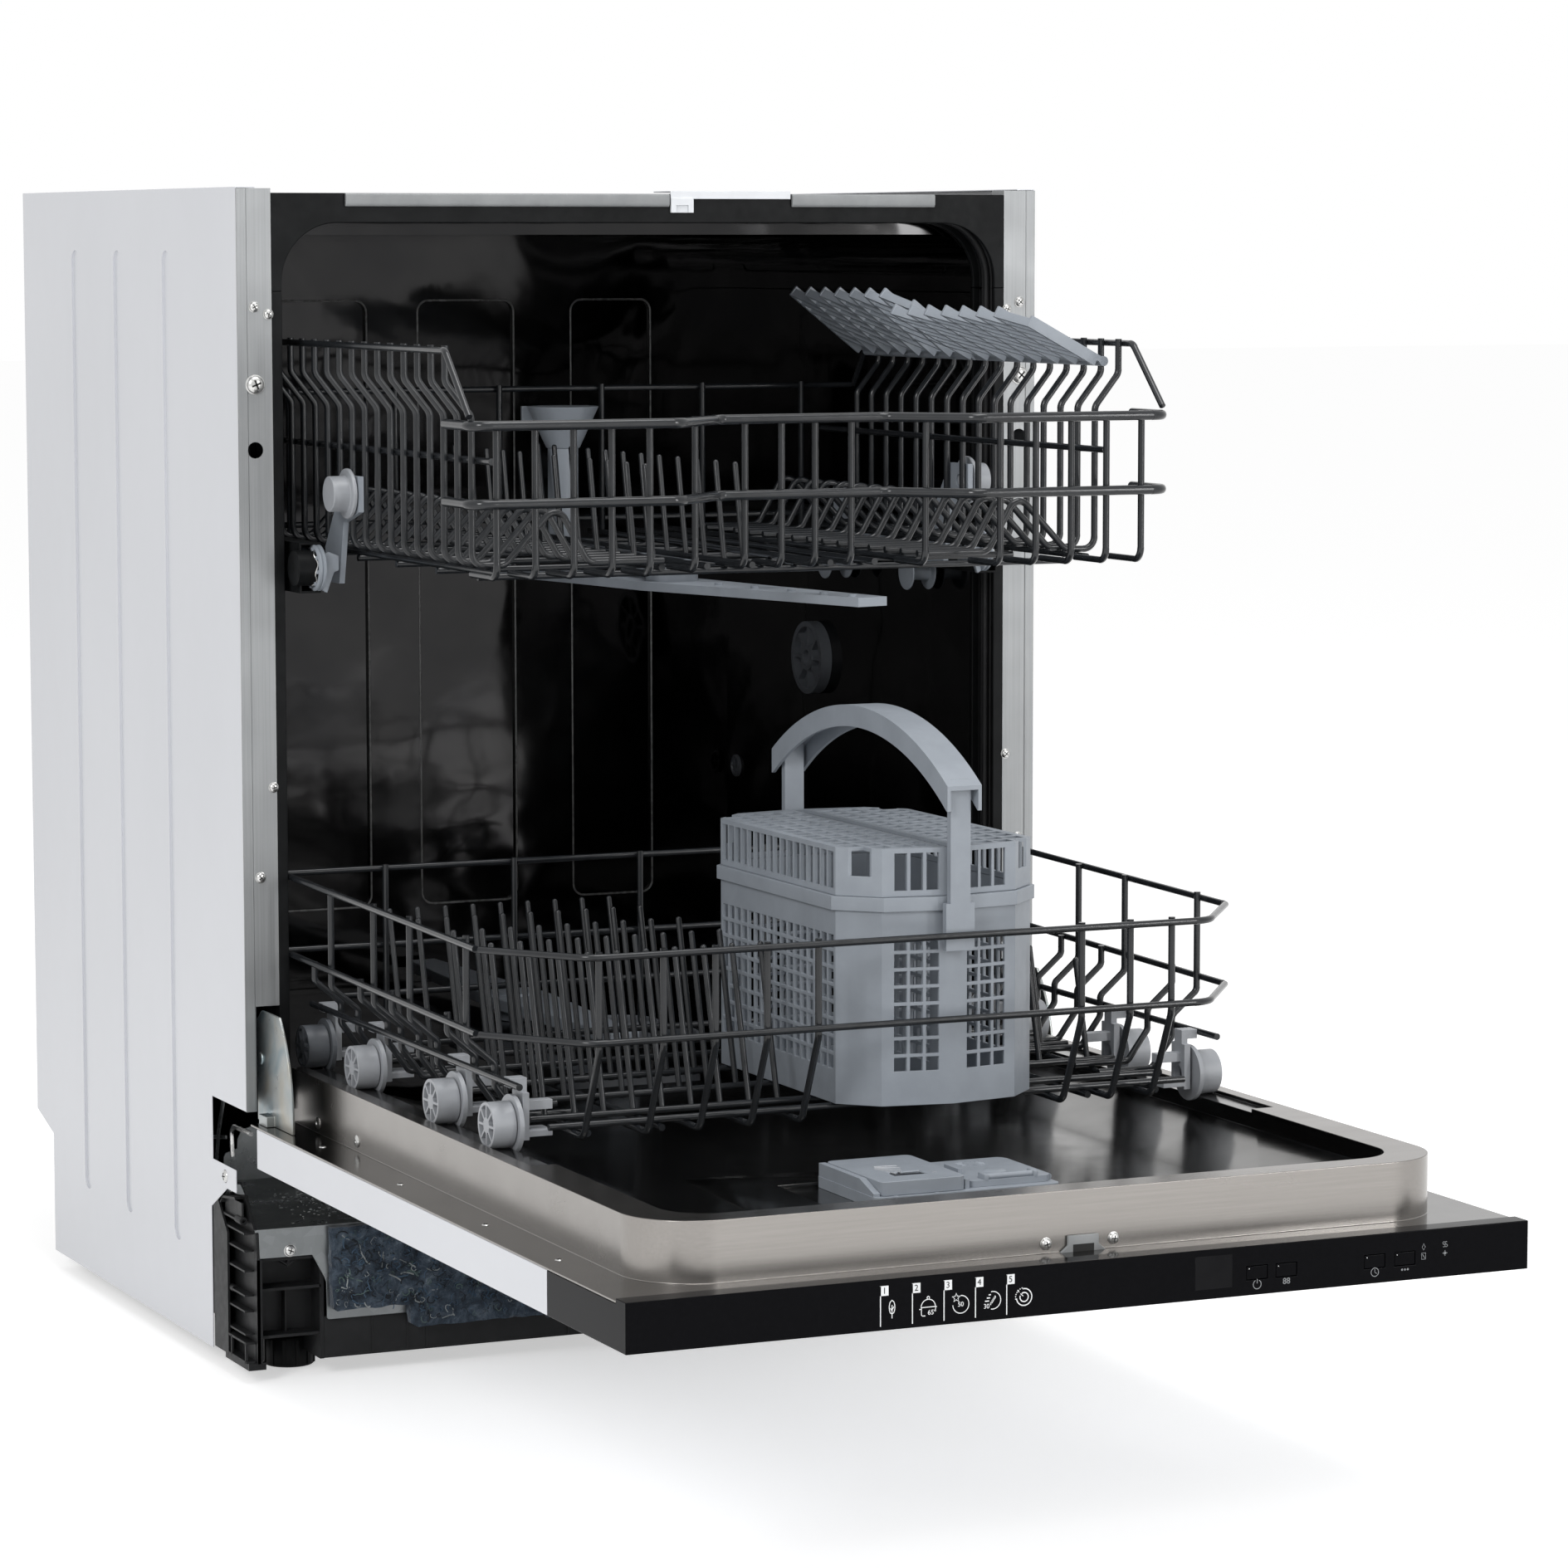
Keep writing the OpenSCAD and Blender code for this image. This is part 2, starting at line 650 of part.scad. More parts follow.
module door_outer_panel() color("white") place() {
    block([-door_hw, fascia_rear_y + touch, door_face_z],
          [door_hw, door_rear_y, door_face_z + 1]);
    both_sides() block([-door_hw, fascia_rear_y + touch, door_face_z + lap],
                       [-door_hw + 1, door_rear_y, strip_top_z]);
    block([-door_hw + lap, door_rear_y - 1, door_face_z + lap],
          [door_hw - lap, door_rear_y, door_face_z + 20]);
}

// outside of the liner, drawn in by g all over
module liner_block(g) translate([0, 0, liner_flange_z - g])
    linear_extrude(liner_rim_z - liner_flange_z) difference() {
        round_rect(-liner_hw + g, liner_front_y + g, liner_hw - g, liner_rear_y - g + 60, 45 - g,
                   $fn = round_fn);
        translate([-400, liner_rear_y - g]) square([800, 100]);
    }

// space above the liner's dish, let out by g all over
module liner_dish(g) {
    translate([0, 0, ledge_step_z - g])
        linear_extrude(30) round_rect(-ledge_in_x - g, pocket_front_y - g, ledge_in_x + g, 60, 30,
                                      $fn = round_fn);
    intersection() {
        along_y(pocket_front_y - g, 700) polygon([
            [-ledge_step_x - g, ledge_step_z + 0.5 - g], [-dish_hw - g, dish_z - g],
            [dish_hw + g, dish_z - g], [ledge_step_x + g, ledge_step_z + 0.5 - g]]);
        along_x(-300, 600) polygon([
            [pocket_front_y + 1 - g, ledge_step_z + 0.5 - g],
            [pocket_front_y + 60 - g, dish_z - g], [60, dish_z - g],
            [60, ledge_step_z + 0.5 - g]]);
        translate([0, 0, dish_z - 5]) linear_extrude(40)
            round_rect(-ledge_in_x - g, pocket_front_y - g, ledge_in_x + g, 60, 30,
                       $fn = round_fn);
    }
}

groove_x = liner_hw - 10;

module door_liner() color("silver") place() {
    difference() {
        liner_block(0);
        liner_dish(0);
        block([-groove_x, -424, ledge_z], [groove_x, 0, liner_rim_z + 1]);
        difference() {
            liner_block(liner_t);
            liner_dish(liner_t);
            block([-groove_x - liner_t, -424 - liner_t, ledge_z - liner_t],
                  [groove_x + liner_t, 0, 300]);
        }
    }
    difference() {
        block([-door_hw, -door_reach + 15.2, liner_flange_z],
              [door_hw, liner_rear_y - 1, liner_flange_z + 1.4]);
        translate([0, 0, liner_flange_z - 1]) linear_extrude(4)
            round_rect(-liner_hw + 0.6, liner_front_y + 0.6, liner_hw - 0.6, 60, 44.4,
                       $fn = round_fn);
    }
}

module door_fascia() color("#101012") place() difference() {
    along_x(-door_hw, 2 * door_hw) polygon([
        [-door_reach, door_face_z], [fascia_rear_y, door_face_z], [fascia_rear_y, strip_top_z],
        [-door_reach + 15, strip_top_z], [-door_reach + 15, fascia_z],
        [-door_reach, fascia_z]]);
    for (x = button_xs)
        block([x - button_w / 2 - 0.3, -door_reach - 1, button_z - button_h / 2 - 0.3],
              [x + button_w / 2 + 0.3, -door_reach + 5 + button_travel,
               button_z + button_h / 2 + 0.3]);
}

module push_button(x) color("#18181a") place()
    block([x - button_w / 2, -door_reach + 0.2, button_z - button_h / 2],
          [x + button_w / 2, -door_reach + 4.6, button_z + button_h / 2]);

module power_button() push_button(button_xs[0]);
module programme_button() push_button(button_xs[1]);
module delay_button() push_button(button_xs[2]);
module option_button() push_button(button_xs[3]);

dispenser_mid_x = 2;

module dispenser_body() color("gray") place() {
    translate([0, 0, dish_z + touch]) linear_extrude(dispenser_top_z - dish_z - touch)
        round_rect(dispenser_x0, dispenser_y0, dispenser_x1, dispenser_y1, 6);
    along_x(dispenser_x0 + 0.6, 4.4) polygon([
        [dispenser_y0 + 4, dispenser_top_z - 1], [dispenser_y0 + 4, dispenser_top_z + 2],
        [dispenser_y0 + 24, dispenser_lid_z - 0.6], [dispenser_y1 - 4, dispenser_lid_z - 0.6],
        [dispenser_y1 - 4, dispenser_top_z - 1]]);
    block([dispenser_mid_x - 1, dispenser_y0 + 6, dispenser_top_z - 1],
          [dispenser_mid_x + 2, dispenser_y1 - 6, dispenser_lid_z - 3]);
}

module dispenser_lid() color("gray") place() difference() {
    translate([0, 0, dispenser_top_z + touch])
        linear_extrude(dispenser_lid_z - dispenser_top_z - touch)
            round_rect(dispenser_x0 + 5.4, dispenser_y0 + 3, dispenser_mid_x - 1.4,
                       dispenser_y1 - 3, 5);
    block([-40, dispenser_y0 + 20, dispenser_lid_z - 1], [-18, dispenser_y0 + 32, 230]);
}

module rinse_aid_flap() color("gray") place() {
    translate([0, 0, dispenser_top_z + touch]) linear_extrude(4)
        round_rect(dispenser_mid_x + 3, dispenser_y0 + 8, dispenser_x1 - 3, dispenser_y1 - 10, 5);
    block([dispenser_mid_x + 6, dispenser_y0 + 30, dispenser_top_z + 3],
          [dispenser_mid_x + 9, dispenser_y0 + 50, dispenser_top_z + 8]);
    pin_y(dispenser_x1 - 3, dispenser_y0 + 12, dispenser_top_z + 2.3, 60, 2);
}

hinge_x = side_x - 12;

module hinge_plates() color("silver") place() both_sides() {
    along_x(-hinge_x, 2) intersection() {
        translate([45, 190]) circle(105, $fn = 128);
        polygon([[-62, liner_flange_z + 1.5], [12, liner_flange_z + 1.5], [12, 252], [2, 259],
                 [-62, 259]]);
    }
    pin_x(-hinge_x - 1.2, 3, 226, 1.6, 4);
    difference() {
        block([-hinge_x - 6, -24, liner_flange_z + 1.5], [-hinge_x + 0.5, -8, 190]);
        block([-hinge_x - 4, -22, liner_flange_z], [-hinge_x - 1, -10, 188]);
    }
}

module door_screws() color("silver") place() {
    both_sides() for (y = [-110, -260, -410, -530])
        screw_z(-door_hw + 15, y, liner_flange_z + 1.5, 3);
    for (x = [-12, 44]) screw_y(x, liner_front_y - 2.3, 205, 3.6);
    difference() {
        block([-4, liner_front_y - 3, 196], [36, liner_front_y - touch, 214]);
        block([6, liner_front_y - 4, 199], [26, liner_front_y - 1, 208]);
    }
}

// ---------- upper rack ----------

grip_out_x = 105;
grip_in_x = 60;
side_end_y = -250;
upper_wall_x = upper_hw - upper_kink;
upright_x = upper_hw - weld;
runner_x = upper_wall_x - 12;
long_xs = [-92, -60, -28, 28, 60, 92];
side_wire_count = floor((upper_rear_y - side_end_y - 30) / upper_pitch);

module heavy_rim(z) wire([
    [-upper_hw, side_end_y, z], [-upper_hw, upper_front_y, z], [-grip_out_x, upper_front_y, z],
    [-grip_in_x, upper_recess_y, z], [grip_in_x, upper_recess_y, z],
    [grip_out_x, upper_front_y, z], [upper_hw, upper_front_y, z], [upper_hw, side_end_y, z]],
    rim_d, 12);

module upper_rims() color("#4a4e54") place() {
    heavy_rim(upper_rim_z);
    heavy_rim(upper_low_rim_z);
    both_sides() {
        wire([[-upper_hw, upper_rear_y, 672], [-upper_hw, upper_rear_y - 30, upper_side_z],
              [-upper_hw, side_end_y, upper_side_z],
              [-upper_hw, upper_front_y + 8, upper_rim_z + (rim_d + wire_d) / 2 + 0.2]]);
        rod([-upper_wall_x + weld, upper_rear_y, 640], [-upper_wall_x + weld, side_end_y - 12, 640],
            wire_d);
    }
    rod([-upper_hw + wire_d / 2 + weld_gap, upper_rear_y, 672],
        [upper_hw - wire_d / 2 - weld_gap, upper_rear_y, 672], wire_d);
    rod([-upper_wall_x, upper_rear_y, upper_floor_z + weld],
        [upper_wall_x, upper_rear_y, upper_floor_z + weld], wire_d);
    for (x = [-200, -120, -40, 40, 120, 200])
        rod([x, upper_rear_y - weld, upper_floor_z - 4], [x, upper_rear_y - weld, 675], wire_d);
}

// one side wire from the rim, kinked in and turned under to its foot on the runner,
// and the hump that goes on from there
module side_wire(y) {
    wire([[-upright_x, y, upper_side_z + 3], [-upright_x, y, upper_side_z - 20],
          [-upper_wall_x, y, upper_side_z - 42], [-upper_wall_x, y, upper_floor_z],
          [-runner_x, y, upper_floor_z]]);
    wire([[-runner_x + weld_gap, y, upper_floor_z], [-runner_x + 10, y, upper_floor_z],
          [-runner_x + 46, y, hump_z], [-runner_x + 68, y, upper_floor_z],
          [-long_xs[5] + 1, y, upper_floor_z]]);
}

module upper_side_wires() color("#4a4e54") place() both_sides()
    for (i = [0:side_wire_count - 1]) side_wire(side_end_y + 12 + i * upper_pitch);

function front_wire_y(x) = abs(x) > grip_out_x ? upper_front_y
    : abs(x) < grip_in_x ? upper_recess_y
    : upper_front_y + (upper_recess_y - upper_front_y) * (grip_out_x - abs(x))
      / (grip_out_x - grip_in_x);

front_xs = concat([12, 38, 82], [for (x = [124:26:upper_hw - 12]) x]);

module upper_front_wires() color("#4a4e54") place() both_sides() for (x = front_xs) {
    y = front_wire_y(x) + (rim_d + wire_d) / 2 + weld_gap + (abs(x - 82) < 1 ? 1.8 : 0);
    wire([[-x, y, upper_rim_z + 3], [-x, y, upper_floor_z - weld],
          [-x, y + 44, upper_floor_z - weld]]);
}

cross_ys = [-216, -140, -64, 12, 80, 140];
upper_tine_d = 3.6;

module upper_floor() color("#4a4e54") place() {
    for (y = cross_ys) rod([-upper_wall_x + 12, y, upper_floor_z - 2 * weld],
                           [upper_wall_x - 12, y, upper_floor_z - 2 * weld], wire_d);
    for (x = long_xs) rod([x, -238, upper_floor_z - weld], [x, 180, upper_floor_z - weld], wire_d);
    for (x = [-runner_x, runner_x])
        rod([x, -250, upper_floor_z - weld], [x, 180, upper_floor_z - weld], wire_d);
    for (x = [-92, -28], i = [0:11]) {
        foot = [x + (wire_d + upper_tine_d) / 2 + weld_gap, -215 + i * 32,
                upper_floor_z - weld - 2];
        tip = foot + [0, 14, 66];
        rod(foot, tip, upper_tine_d);
        translate(tip) sphere(d = upper_tine_d + 0.1);
    }
}

clip_x = upper_wall_x + wire_d / 2 + 0.2;

module roller_clips() color("gray") place() both_sides() {
    difference() {
        along_x(-clip_x - 4, 4) polygon([
            [-42, 598], [-42, 622], [-12, 622], [26, 572], [26, 548], [-2, 548], [-12, 590]]);
        pin_x(-clip_x - 5, -27, 610, 6, 4.2);
        pin_x(-clip_x - 5, 12, rail_z, 6, 4.2);
    }
    difference() {
        along_x(-clip_x - 4, 4) polygon([[156, 548], [184, 548], [184, 600], [156, 600]]);
        pin_x(-clip_x - 5, 170, rail_z, 6, 4.2);
    }
}

module rack_roller(y) color("gray") place() both_sides() {
    pin_x(-rail_in_x - 12, y, rail_z, 10, 14.6);
    pin_x(-rail_in_x - 3, y, rail_z, rail_in_x + 2 - clip_x, 4);
}

module rack_rollers_front() rack_roller(12);
module rack_rollers_rear() rack_roller(170);

module spare_rollers() color("gray") place() both_sides() {
    pin_x(-clip_x - 20, -27, 610, 14, 12);
    pin_x(-clip_x - 8, -27, 610, 3, 17);
    pin_x(-clip_x - 6, -27, 610, 5, 4);
}

feed_z = 552;

module rack_feed() color("gray") place() {
    difference() {
        union() {
            block([-13, arm_y, feed_z], [13, upper_rear_y - 8, feed_z + 9]);
            translate([0, arm_y, feed_z]) cylinder(h = 9, r = 20);
        }
        translate([0, arm_y, feed_z - 1]) cylinder(h = 4, r = 8);
    }
    translate([0, upper_rear_y - 28, feed_z + 2]) cylinder(h = 105, r = 11);
    translate([0, upper_rear_y - 28, feed_z + 78]) cylinder(h = 30, r1 = 12, r2 = 26);
    block([-26, upper_rear_y - 14, feed_z + 96], [26, upper_rear_y - 11, feed_z + 108]);
    block([-8, upper_rear_y - 28, feed_z + 97], [8, upper_rear_y - 12, feed_z + 106]);
}

module upper_spray_arm() color("gray") place() translate([0, arm_y, 0]) {
    cylinder_z = feed_z - 12;
    translate([0, 0, cylinder_z]) cylinder(h = 11.9, r = 18);
    translate([0, 0, cylinder_z + 3]) cylinder(h = 11, r = 7.4);
    rotate(-166.3) translate([0, 0, cylinder_z]) {
        linear_extrude(6) polygon([
            [-26, 0], [-20, -70], [-12, -upper_arm_len / 2], [12, -upper_arm_len / 2],
            [20, -70], [26, 0], [20, 70], [12, upper_arm_len / 2], [-12, upper_arm_len / 2],
            [-20, 70]]);
        for (s = [-1, 1], r = [60, 100, 140, 175, 205])
            translate([s * 5, s * r, 5]) cylinder(h = 2.6, r = 3);
    }
}

shelf_x = upper_hw - 10;
shelf_z = 698;
shelf_low = -6;
shelf_high = 2;
shelf_rib_t = 2.6;
shelf_ribs = 7;
shelf_skew = 13;
slat_rows = 6;
barrel_r = upright_x - wire_d / 2 - shelf_x - 0.05;

// slat from one rib to the next, its far end at x and its near end skewed towards the hinge
module slat(x, y, run, t) translate([0, 0, shelf_low]) linear_extrude(shelf_high - shelf_low - 2)
    polygon([[x, y + run], [x + shelf_skew, y], [x + shelf_skew + t, y], [x + t, y + run]]);

// lattice shelf lying flat, hinge line on Y at the origin, reaching towards minus X
module shelf(len) {
    run = (len - shelf_rib_t) / shelf_ribs;
    step = (shelf_w - 4 - shelf_skew) / slat_rows;
    pin_y(0, 0, 0, len, barrel_r);
    block([-6, 0, -shelf_high], [0, len, shelf_high]);
    for (i = [0:shelf_ribs])
        block([-shelf_w + (i == 0 ? shelf_skew : 0), i * run, shelf_low],
              [-5, i * run + shelf_rib_t, shelf_high]);
    for (i = [0:shelf_ribs - 1], j = [0:slat_rows - 1])
        slat(-shelf_w + j * step, i * run + shelf_rib_t / 2, run, j == 0 ? 3 : 2);
}

module cup_shelf_front() color("gray") place()
    translate([shelf_x, -228, shelf_z]) rotate([0, shelf_front_tilt, 0]) shelf(190);
module cup_shelf_rear() color("gray") place()
    translate([shelf_x, -34, shelf_z]) rotate([0, shelf_rear_tilt, 0]) shelf(180);

// ---------- lower rack ----------

cut_x = 49;
cut_y = 65;
step_x = ledge_step_x;
foot_x = step_x - 15;
rod_x = foot_x - 26;
lower_front_xs = [for (d = [18, 61, 96, 131, 166]) d - foot_x, for (d = [36, 66, 101]) foot_x - d];
floor_low = lower_floor_z - weld;

module lower_rim(z) {
    rod([-lower_hw, lower_rear_y - 2, z + 6], [-lower_hw, lower_front_y + cut_y + 4, z], wire_d);
    rod([lower_hw, lower_rear_y - 2, z + 6], [lower_hw, lower_front_y + cut_y + 4, z], wire_d);
    wire([[-lower_hw + 1, lower_front_y + cut_y, z], [-lower_hw + cut_x, lower_front_y, z],
          [lower_hw - cut_x, lower_front_y, z], [lower_hw - 1, lower_front_y + cut_y, z]],
         wire_d, 20);
    rod([-lower_hw + 4, lower_rear_y, z + 6], [lower_hw - 4, lower_rear_y, z + 6], wire_d);
}

module lower_rims() color("#4a4e54") place() {
    lower_rim(lower_rim_z);
    lower_rim(lower_mid_z);
    both_sides() rod([-step_x - weld, lower_rear_y - 8, 259], [-step_x - weld, -372, 259], wire_d);
    rod([-foot_x, lower_rear_y, 262], [foot_x, lower_rear_y, 262], wire_d);
}

side_ys = [-318, -284, -216, -182, -148, -122, -64, -30];

module lower_side_wire(y, top) wire([
    [-lower_hw + weld, y, top], [-lower_hw + weld, y, lower_mid_z - 8], [-step_x, y, 266],
    [-step_x, y, 252], [-foot_x, y, floor_low], [-foot_x + 40, y, floor_low]],
    wire_d, 5);

module lower_wires() color("#4a4e54") place() {
    both_sides() for (i = [0:len(side_ys) - 1])
        lower_side_wire(side_ys[i], (i % 2 == 0 ? lower_rim_z : lower_mid_z) + 5);
    for (x = lower_front_xs) {
        y = lower_front_y + weld;
        wire([[x, y, lower_rim_z + 3], [x, y, lower_mid_z - 6], [x, y + 26, lower_floor_z - 2 * weld],
              [x, y + 70, lower_floor_z - 2 * weld]], wire_d, 8);
    }
    for (x = [-190, -95, 0, 95, 190])
        wire([[x, lower_rear_y - weld, lower_rim_z + 9], [x, lower_rear_y - weld, floor_low - weld],
              [x, lower_rear_y - 40, floor_low - weld]], wire_d, 8);
}

lower_cross_ys = [-366, -334, -268, -200, -134, -78, -12];
tine_rows = [-334, -268, -200, -134, -78];
lower_tine_d = 3.8;
tine_sink = 3;

// slanted tine welded behind the cross rod at y
module lower_tine(x, y, len) {
    foot = [x, y + ((wire_d + lower_tine_d) / 2 + weld_gap) / cos(tine_lean)
               - tine_sink * tan(tine_lean), floor_low - tine_sink];
    tip = foot + [0, len * sin(tine_lean), len * cos(tine_lean)];
    rod(foot, tip, lower_tine_d);
    translate(tip) sphere(d = lower_tine_d + 0.1);
}

module lower_floor() color("#4a4e54") place() {
    for (y = lower_cross_ys) rod([-foot_x + 2, y, floor_low], [foot_x - 2, y, floor_low], wire_d);
    for (x = [-rod_x, -rod_x + 50, rod_x - 50, rod_x])
        rod([x, -372, floor_low - weld], [x, 0, floor_low - weld], wire_d);
    for (y = tine_rows, i = [0:8]) lower_tine(14 - foot_x + i * tine_pitch, y, tine_len);
    for (y = [-268, -200, -134, -78], d = [86, 56, 20])
        lower_tine(foot_x - d, y, 70);
}

wheel_out_x = ledge_in_x + 15;
flange_x = ledge_in_x - 3.7;

module wheel_pair(y) color("lightgray") place() both_sides() difference() {
    union() {
        pin_x(-wheel_out_x, y, wheel_z, 15, wheel_r);
        pin_x(-flange_x - 3, y, wheel_z, 3, wheel_flange_r);
        pin_x(-wheel_out_x + 12, y, wheel_z, 8, 5);
    }
    difference() {
        pin_x(-wheel_out_x - 1, y, wheel_z, 11, wheel_r - 2);
        pin_x(-wheel_out_x - 2, y, wheel_z, 14, 5);
        for (a = [0:45:315]) translate([-wheel_out_x - 2, y, wheel_z]) rotate([a, 0, 0])
            translate([0, -0.8, 4]) cube([14, 1.6, wheel_r]);
    }
}

module wheels_front() wheel_pair(wheel_ys[0]);
module wheels_second() wheel_pair(wheel_ys[1]);
module wheels_third() wheel_pair(wheel_ys[2]);
module wheels_rear() wheel_pair(wheel_ys[3]);

module wheel_clips() color("gray") place() both_sides() for (y = wheel_ys) difference() {
    union() {
        block([-step_x + 5, y - 9, 222], [-step_x + 9.5, y + 9, 252]);
        block([-step_x - weld + wire_d / 2 + touch, y - 5, 255], [-step_x + 9.5, y + 5, 261]);
        block([-step_x + 5, y - 5, 250], [-step_x + 9.5, y + 5, 256]);
        block([-step_x + 9, y - 4, 240], [-step_x + 27, y + 4, 246]);
        block([-step_x + 9, y - 9, 224], [-step_x + 25, y + 9, 228]);
    }
    pin_x(-step_x + 1, y, wheel_z, 12, 5.4);
}

// ---------- cutlery basket ----------

basket_z = floor_low + wire_d / 2 + touch;
basket_mid_y = (basket_front_y + basket_rear_y) / 2;

function basket_outline(i) = [
    [-basket_hw + basket_cut, basket_front_y + i], [0, basket_front_y - basket_peak + i],
    [basket_hw - basket_cut, basket_front_y + i], [basket_hw - i, basket_front_y + basket_cut],
    [basket_hw - i, basket_rear_y - basket_cut], [basket_hw - basket_cut, basket_rear_y - i],
    [0, basket_rear_y + basket_peak - i], [-basket_hw + basket_cut, basket_rear_y - i],
    [-basket_hw + i, basket_rear_y - basket_cut], [-basket_hw + i, basket_front_y + basket_cut]];

module basket_ring(z, h, out, wall) translate([basket_x, 0, z]) linear_extrude(h) difference() {
    polygon(basket_outline(out));
    polygon(basket_outline(out + wall));
}

slat_w = 2.2;
end_cols = 3;

// slots in rows: through both long sides, then through both ends beside the middle post
module lattice_cuts(low, rows, pitch) {
    side_run = basket_rear_y - basket_front_y - 2 * basket_cut;
    side_cols = floor(side_run / slot_pitch);
    side_y = basket_front_y + basket_cut + (side_run - side_cols * slot_pitch + slat_w) / 2;
    for (i = [0:side_cols - 1], j = [0:rows - 1])
        block([basket_x - basket_hw - 9, side_y + i * slot_pitch, low + j * pitch],
              [basket_x + basket_hw + 9, side_y + (i + 1) * slot_pitch - slat_w,
               low + (j + 1) * pitch - slat_w]);
    for (s = [-1, 1], i = [0:end_cols - 1], j = [0:rows - 1]) {
        x = basket_x + s * (14 + i * slot_pitch);
        block([x - (slot_pitch - slat_w) / 2, basket_front_y - 20, low + j * pitch],
              [x + (slot_pitch - slat_w) / 2, basket_rear_y + 20, low + (j + 1) * pitch - slat_w]);
    }
}

module basket_body() color("gray") place() difference() {
    union() {
        basket_ring(basket_z, basket_rim_z - basket_z, 3, 2.4);
        basket_ring(basket_rim_z - 9, 9, 0, 5.4);
        translate([basket_x, 0, basket_z]) linear_extrude(2.5) polygon(basket_outline(4));
        translate([0, 0, basket_z + 1]) {
            block([basket_x - 1.2, basket_front_y, 0], [basket_x + 1.2, basket_rear_y, 110]);
            block([basket_x - basket_hw + 5, basket_mid_y - 1.2, 0],
                  [basket_x + basket_hw - 5, basket_mid_y + 1.2, 110]);
        }
    }
    lattice_cuts(basket_z + 22, 8, row_pitch);
}

// one half of the lid cage, on the minus X side
module lid_half() difference() {
    union() {
        basket_ring(basket_rim_z + 0.3, basket_lid_z - basket_rim_z - 0.3, 3, 2.4);
        translate([basket_x, 0, basket_lid_z - 2.4]) linear_extrude(2.4)
            polygon(basket_outline(4));
    }
    block([basket_x - 4.6, -500, 300], [basket_x + 200, 0, 500]);
    for (i = [0:14], j = [0:3])
        block([basket_x - basket_hw + 9 + j * 14.4, basket_front_y + 8 + i * 14.4, 380],
              [basket_x - basket_hw + 20 + j * 14.4, basket_front_y + 19 + i * 14.4, 500]);
    lattice_cuts(basket_rim_z + 4, 1, 26);
}

module basket_lid_left() color("gray") place() lid_half();
module basket_lid_right() color("gray") place()
    translate([2 * basket_x, 0, 0]) mirror([1, 0, 0]) lid_half();

grip_hw = 12;
grip_h = 14;
grip_wall = 2.4;
grip_r = 247;
leg_hw = 7;

// band between two arcs under the top of the grip
module grip_band(out, in, reach, low) intersection() {
    translate([basket_mid_y, handle_z - grip_r]) difference() {
        circle(grip_r - out, $fn = 256);
        circle(grip_r - in, $fn = 256);
    }
    translate([basket_mid_y - reach, low]) square([2 * reach, 100]);
}

module basket_handle() color("gray") place() {
    leg_y = (basket_rear_y - basket_front_y) / 2 + basket_peak + 3.2;
    for (s = [-1, 1]) {
        y = basket_mid_y + s * leg_y;
        block([basket_x - leg_hw, y - 2.6, basket_rim_z - 34],
              [basket_x + leg_hw, y + 2.6, handle_z - 36.2]);
        block([basket_x - leg_hw - 3, y - 2.6, basket_rim_z - 34],
              [basket_x + leg_hw + 3, y + 2.6, basket_rim_z - 4]);
    }
    difference() {
        along_x(basket_x - grip_hw, 2 * grip_hw) grip_band(0, grip_h, leg_y + 8, 422);
        along_x(basket_x - grip_hw + grip_wall, 2 * (grip_hw - grip_wall))
            grip_band(grip_wall, grip_h + 1, leg_y + 9, 420);
    }
}

side_panel_left();
side_panel_right();
front_posts();
frame_top();
frame_sides();
door_seal();
top_trims();
door_latch();
tub_shell();
tub_rear_wall();
tub_floor();
wall_vent();
sump_filter();
base_tray();
base_brackets();
front_crossbar();
felt_mat();
front_beam();
feet();
cabinet_screws();
tub_rollers_front();
tub_rollers_rear();
lower_spray_arm();
rack_rails();
door_outer_panel();
door_liner();
door_fascia();
dispenser_body();
hinge_plates();
door_screws();
power_button();
programme_button();
delay_button();
option_button();
dispenser_lid();
rinse_aid_flap();
upper_rims();
upper_side_wires();
upper_front_wires();
upper_floor();
roller_clips();
rack_feed();
upper_spray_arm();
cup_shelf_front();
cup_shelf_rear();
rack_rollers_front();
rack_rollers_rear();
spare_rollers();
lower_rims();
lower_wires();
lower_floor();
wheel_clips();
wheels_front();
wheels_second();
wheels_third();
wheels_rear();
basket_body();
basket_lid_left();
basket_lid_right();
basket_handle();
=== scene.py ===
import json
import math
import random

import bmesh
import bpy
from mathutils import Matrix, Vector, noise


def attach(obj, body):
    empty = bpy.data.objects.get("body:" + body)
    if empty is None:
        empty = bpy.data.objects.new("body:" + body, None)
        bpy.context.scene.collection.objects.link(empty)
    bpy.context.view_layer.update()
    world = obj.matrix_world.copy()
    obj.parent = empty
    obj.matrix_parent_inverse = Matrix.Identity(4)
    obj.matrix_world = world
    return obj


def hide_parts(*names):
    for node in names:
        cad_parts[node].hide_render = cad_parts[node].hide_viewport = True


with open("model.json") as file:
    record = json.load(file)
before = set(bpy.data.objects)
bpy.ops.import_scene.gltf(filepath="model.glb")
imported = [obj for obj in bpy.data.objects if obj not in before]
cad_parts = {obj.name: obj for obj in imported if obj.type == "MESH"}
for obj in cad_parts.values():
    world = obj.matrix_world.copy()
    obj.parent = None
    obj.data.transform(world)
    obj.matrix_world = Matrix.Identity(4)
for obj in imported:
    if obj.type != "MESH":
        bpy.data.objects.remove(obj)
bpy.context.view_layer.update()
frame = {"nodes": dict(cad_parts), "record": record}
nodes = frame["nodes"]
record = frame["record"]
random.seed(7)

